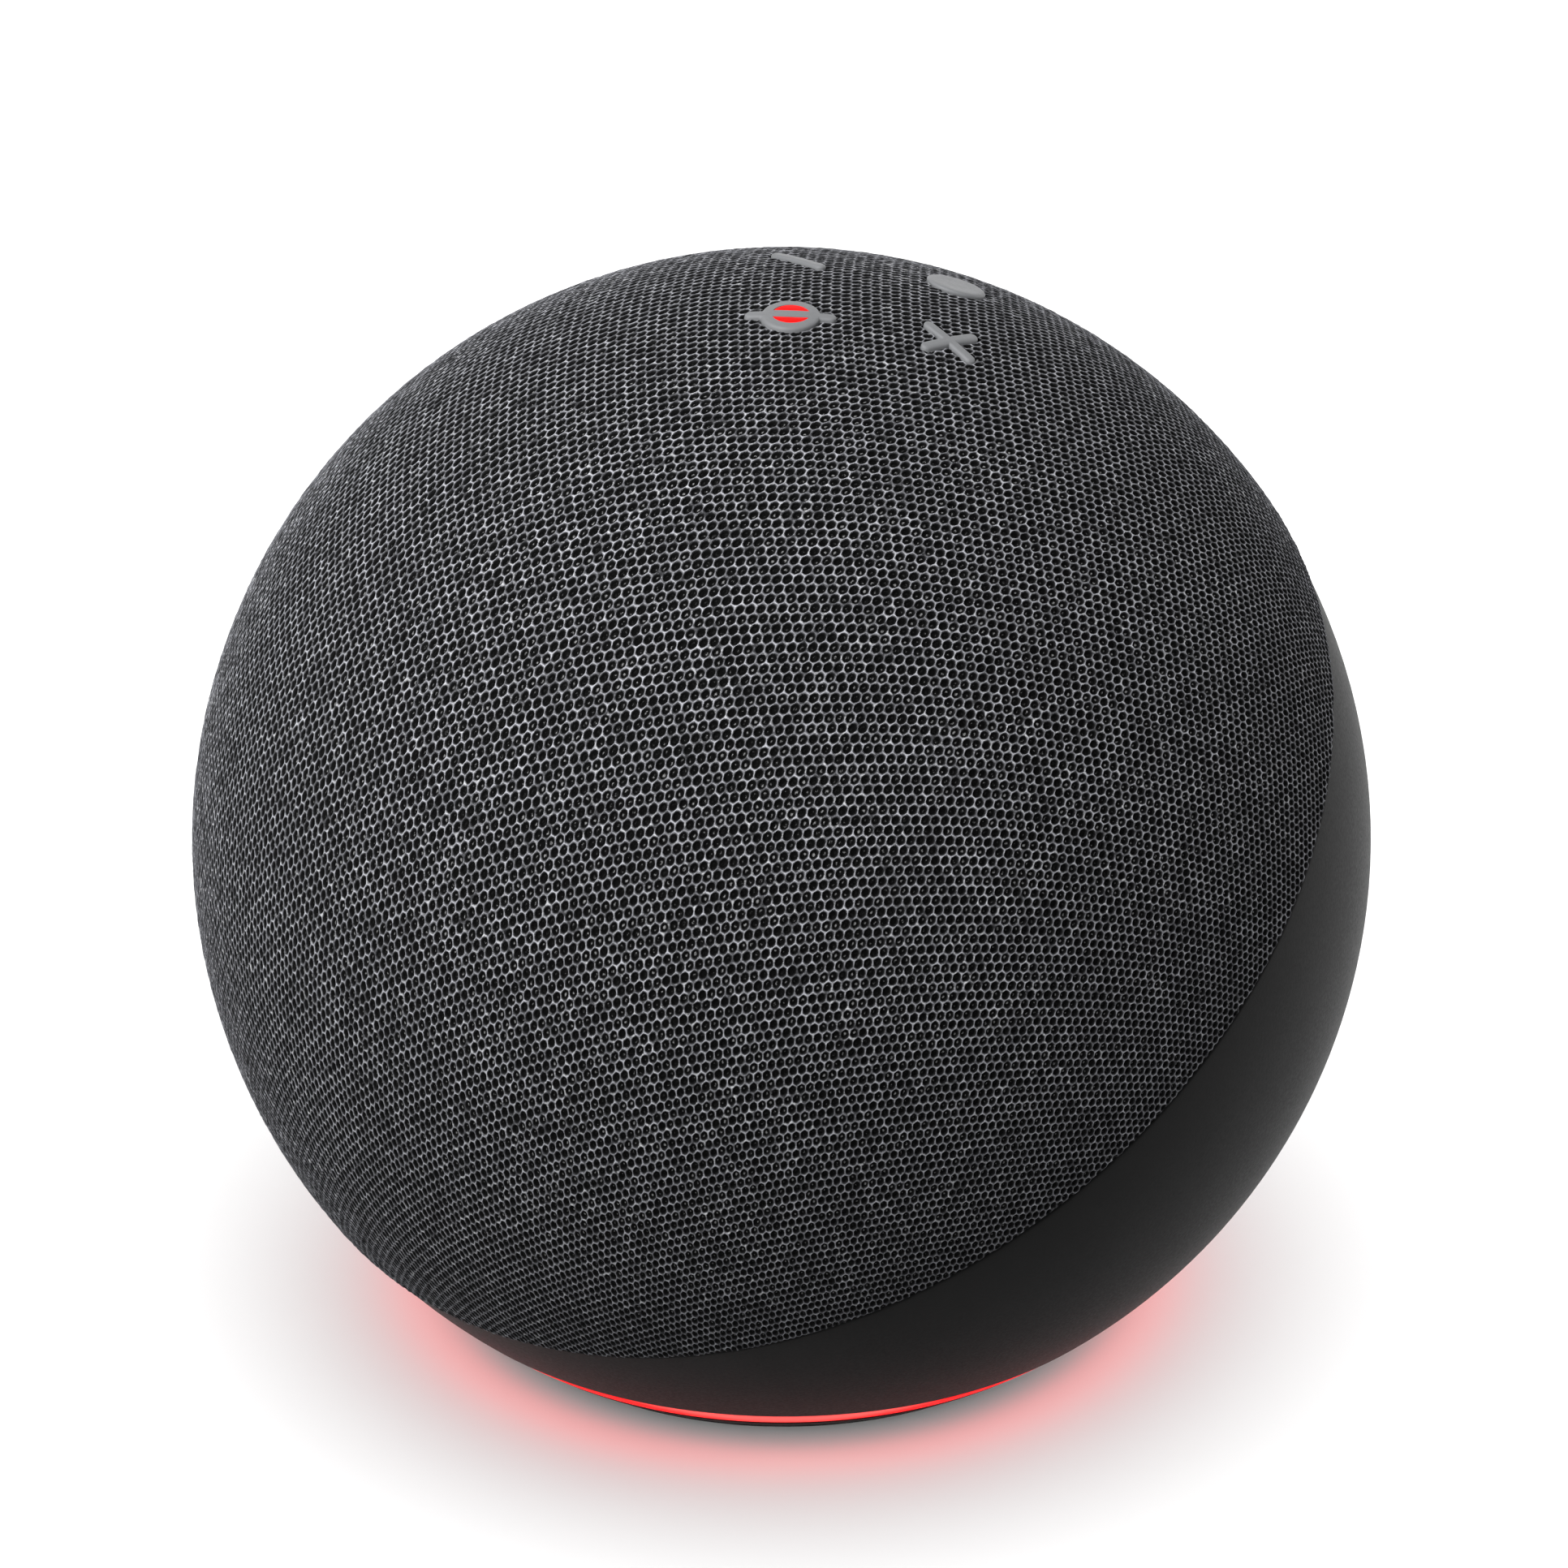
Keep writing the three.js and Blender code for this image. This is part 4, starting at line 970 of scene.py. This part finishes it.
def base_plate():
    """The plate inside the foot, with four screw wells and the boss for the tripod insert."""
    hole = INSERT_R + GAP
    radii = np.array([9.5, 14.5, 19.5]) * MM
    profile = (
        [(hole, BASE_LOW + 0.3 * MM), (hole + 0.3 * MM, BASE_LOW)]
        + grooves(radii, BASE_LOW, 0.4 * MM, 0.15 * MM, 0.3 * MM)
        + [(BASE_INNER_R - 0.6 * MM, BASE_LOW),
           (BASE_INNER_R - 0.15 * MM, BASE_LOW + 0.15 * MM),
           (BASE_INNER_R, BASE_LOW + 0.6 * MM), (BASE_INNER_R, BASE_SHELF),
           (BASE_R - 0.3 * MM, BASE_SHELF), (BASE_R, BASE_SHELF + 0.3 * MM), (BASE_R, BASE_TOP),
           (SOCKET_BOSS_R, BASE_TOP), (SOCKET_BOSS_R, SOCKET_TOP), (hole, SOCKET_TOP)]
    )
    made = lathe("base_plate_moulding", profile, 128)
    bore = [(0, 0), (SCREW_WELL_R, 0), (SCREW_WELL_R, SCREW_WELL_TOP),
            (SCREW_HOLE_R, SCREW_WELL_TOP), (SCREW_HOLE_R, 20 * MM), (0, 20 * MM)]
    tools = []
    for k in range(4):
        turn = Matrix.Rotation(math.radians(45 + 90 * k), 4, "Z")
        place = np.array(Matrix.Translation(turn @ Vector((SCREW_CIRCLE_R, 0, 0))))
        tools.append(("UNION", rod("boss", SCREW_BOSS_R, *SCREW_BOSS_SPAN, 32, place)))
        tools.append(("DIFFERENCE", lathe("bore", bore, 32, place, closed=False)))
    combine(made, tools)
    crisp(made, 30)
    dress(made, "black_plastic")
    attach(made, "housing")
    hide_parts("base_plate")


def tripod_insert():
    """Brass bush with a thread inside: rows of points up the outside and down the thread."""
    pitch, depth, steps = 1.27 * MM, 0.4 * MM, 48
    chamfer = 0.3 * MM
    angles = np.linspace(0, 2 * math.pi, steps, endpoint=False)
    rows = [
        (INSERT_R, SOCKET_TOP), (INSERT_R, BASE_LOW + chamfer), (INSERT_R - chamfer, BASE_LOW),
        (INSERT_INNER_R + 0.5 * MM, BASE_LOW),
    ]
    for z in np.linspace(BASE_LOW + 0.5 * MM, SOCKET_TOP - chamfer, 90):
        phase = (z / pitch - angles / (2 * math.pi)) % 1
        rows.append((INSERT_INNER_R + depth * np.abs(2 * phase - 1), z))
    rows.append((INSERT_INNER_R + chamfer, SOCKET_TOP))
    points = []
    for radius, z in rows:
        ring = np.column_stack([np.cos(angles), np.sin(angles)]) * np.reshape(radius, (-1, 1))
        points.append(np.column_stack([ring, np.full(steps, z)]))
    faces = [band(k * steps, (k + 1) % len(rows) * steps, steps) for k in range(len(rows))]
    made = mesh_object("tripod_thread_insert", np.concatenate(points), np.concatenate(faces))
    weld(made)
    crisp(made, 40)
    dress(made, "brass_insert")
    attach(made, "housing")
    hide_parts("tripod_insert")


def jack(kind, x, tube_r, bore_r, box_width, pin):
    """A socket in the port pocket: its box behind, its tube through the pocket's floor."""
    place = port_place(x)
    front = PORT_FLOOR_Y
    back = front - PORT_WALL - 0.9 * MM
    tube_back = front - JACK_TUBE_LENGTH
    profile = rounded(
        [(bore_r, tube_back, 0), (tube_r, tube_back, 0), (tube_r, front, 0.3 * MM),
         (bore_r + 0.35 * MM, front, 0.15 * MM), (bore_r, front - 0.5 * MM, 0.15 * MM)],
        3,
    )
    tube = lathe("tube", profile, 64, place)
    half = box_width / 2
    outline = [(-half, -JACK_HALF_HEIGHT), (half, -JACK_HALF_HEIGHT),
               (half, JACK_HALF_HEIGHT), (-half, JACK_HALF_HEIGHT)]
    box = prism("box", [outline] * 2, (back - JACK_BOX_LENGTH, back), place)
    well = rod("well", bore_r + 0.05 * MM, front - 9.9 * MM, front + 1 * MM, 64, place)
    combine(box, [("DIFFERENCE", well)])
    parts = [tube, box]
    for part in parts:
        dress(part, "black_plastic")
    if pin:
        profile = [(0, front - 11 * MM), (0.8 * MM, front - 11 * MM), (0.8 * MM, front - 1.4 * MM),
                   (0.5 * MM, front - 1 * MM), (0, front - 0.9 * MM)]
        parts.append(lathe("pin", profile, 24, place, closed=False))
        dress(parts[-1], "plated_steel")
    made = joined(kind + "_socket", parts)
    crisp(made, 40)
    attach(made, "housing")
    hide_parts(kind + "_jack")


# ---------- camera, light and floor ----------
CAMERA_AZIMUTH = math.radians(48.5)
CAMERA_ELEVATION = math.radians(30.1)
CAMERA_DISTANCE = 2.1
CAMERA_RISE = 6.64 * MM  # how far the camera aims over the ball's centre
BALL_SHARE = 0.7555  # the ball's width over the frame's
SENSOR = 36.0
LIGHT_DISTANCE = 1.2
# Each softbox has its direction, as shares of the camera's right, up and back, its size and power.
SOFTBOXES = {
    "key_light": ((-0.485, 0.399, 0.774), 1.2, 28.5),
    "rim_light": ((0.88, 0.38, -0.32), 1.2, 8.0),
    "back_light": ((0.0, 0.55, -0.83), 1.0, 4.0),
}
FLOOR_LIGHT = 4.6
SKY = 0.29  # brightness of the tent
UNDER = 0.05  # brightness from below, as a share of the tent's
FLOOR_HALF = 6.0


def camera_axes():
    a, e = CAMERA_AZIMUTH, CAMERA_ELEVATION
    back = Vector((math.sin(a) * math.cos(e), -math.cos(a) * math.cos(e), math.sin(e)))
    right = Vector((math.cos(a), math.sin(a), 0))
    return right, back.cross(right), back


def add_camera():
    _, up, back = camera_axes()
    data = bpy.data.cameras.new("camera")
    data.sensor_width = SENSOR
    data.lens = SENSOR * BALL_SHARE / 2 * math.sqrt(CAMERA_DISTANCE**2 - BALL_R**2) / BALL_R
    camera = bpy.data.objects.new("camera", data)
    camera.location = Vector(CENTRE) + up * CAMERA_RISE + back * CAMERA_DISTANCE
    camera.rotation_mode = "QUATERNION"
    camera.rotation_quaternion = back.to_track_quat("Z", "Y")
    bpy.context.scene.collection.objects.link(camera)
    bpy.context.scene.camera = camera


def softbox(name, shares, size, power):
    """A square light that looks at the ball."""
    axes = [axis * share for axis, share in zip(camera_axes(), shares)]
    direction = (axes[0] + axes[1] + axes[2]).normalized()
    data = bpy.data.lights.new(name, "AREA")
    data.shape = "SQUARE"
    data.size = size
    data.energy = power
    light = bpy.data.objects.new(name, data)
    light.location = Vector(CENTRE) + direction * LIGHT_DISTANCE
    light.rotation_mode = "QUATERNION"
    light.rotation_quaternion = direction.to_track_quat("Z", "Y")
    bpy.context.scene.collection.objects.link(light)
    return light


def floor_sky():
    """Light from nearly the whole sky, for the floor."""
    data = bpy.data.lights.new("floor_sky", "SUN")
    data.angle = math.radians(160)
    data.energy = FLOOR_LIGHT
    light = bpy.data.objects.new("floor_sky", data)
    bpy.context.scene.collection.objects.link(light)
    return light


def link_light(light, target, state):
    """Lets a light reach only the target, or everything but the target."""
    group = bpy.data.collections.new(light.name + "_target")
    group.objects.link(target)
    group.collection_objects[0].light_linking.link_state = state
    light.light_linking.receiver_collection = group


def light_tent():
    """A white tent all round that gives hardly any light from below."""
    world = bpy.data.worlds.new("studio")
    world.use_nodes = True
    tree = world.node_tree
    direction = tree.nodes.new("ShaderNodeTexCoord").outputs["Generated"]
    level = separated(tree, direction)["Z"]
    strength = remap(tree, level, UNDER * SKY, SKY, -0.06, 0.1)
    background = tree.nodes["Background"]
    background.inputs["Color"].default_value = (1, 1, 1, 1)
    tree.links.new(strength, background.inputs["Strength"])
    bpy.context.scene.world = world
    bpy.context.scene.view_settings.view_transform = "Standard"


def add_floor():
    """A pale floor that throws no light back at the ball, only its reflection."""
    size = FLOOR_HALF
    points = [(-size, -size, 0), (size, -size, 0), (size, size, 0), (-size, size, 0)]
    floor = mesh_object("floor", points, [[0, 1, 2, 3]])
    made, tree, shader, place = nodes_of("pale_floor")
    tree.links.new(ramp(tree, noise(tree, place, 3), [(0.3, 0.90), (0.7, 0.92)]),
                   shader.inputs["Base Color"])
    shader.inputs["Roughness"].default_value = 0.9
    shader.inputs["Specular IOR Level"].default_value = 0.1
    floor.data.materials.append(made)
    floor.visible_diffuse = False
    return floor


# ---------- assembly ----------
add_camera()
light_tent()
floor = add_floor()
for light_name, placing in SOFTBOXES.items():
    link_light(softbox(light_name, *placing), floor, "EXCLUDE")
link_light(floor_sky(), floor, "INCLUDE")
finish_carried_nodes()
ground, face_sections = knit_cover()
rear_shell()
mute_key()
key_cap("action_button", "action_key", dish=0.12 * MM)
key_cap("volume_up_button", "volume_up")
key_cap("volume_down_button", "volume_down")
light_ring()
rubber_foot()
base_plate()
tripod_insert()
jack("power", JACK_X, POWER_TUBE_R, bore_r=3.2 * MM, box_width=10.5 * MM, pin=True)
jack("audio", -JACK_X, AUDIO_TUBE_R, bore_r=1.8 * MM, box_width=8 * MM, pin=False)
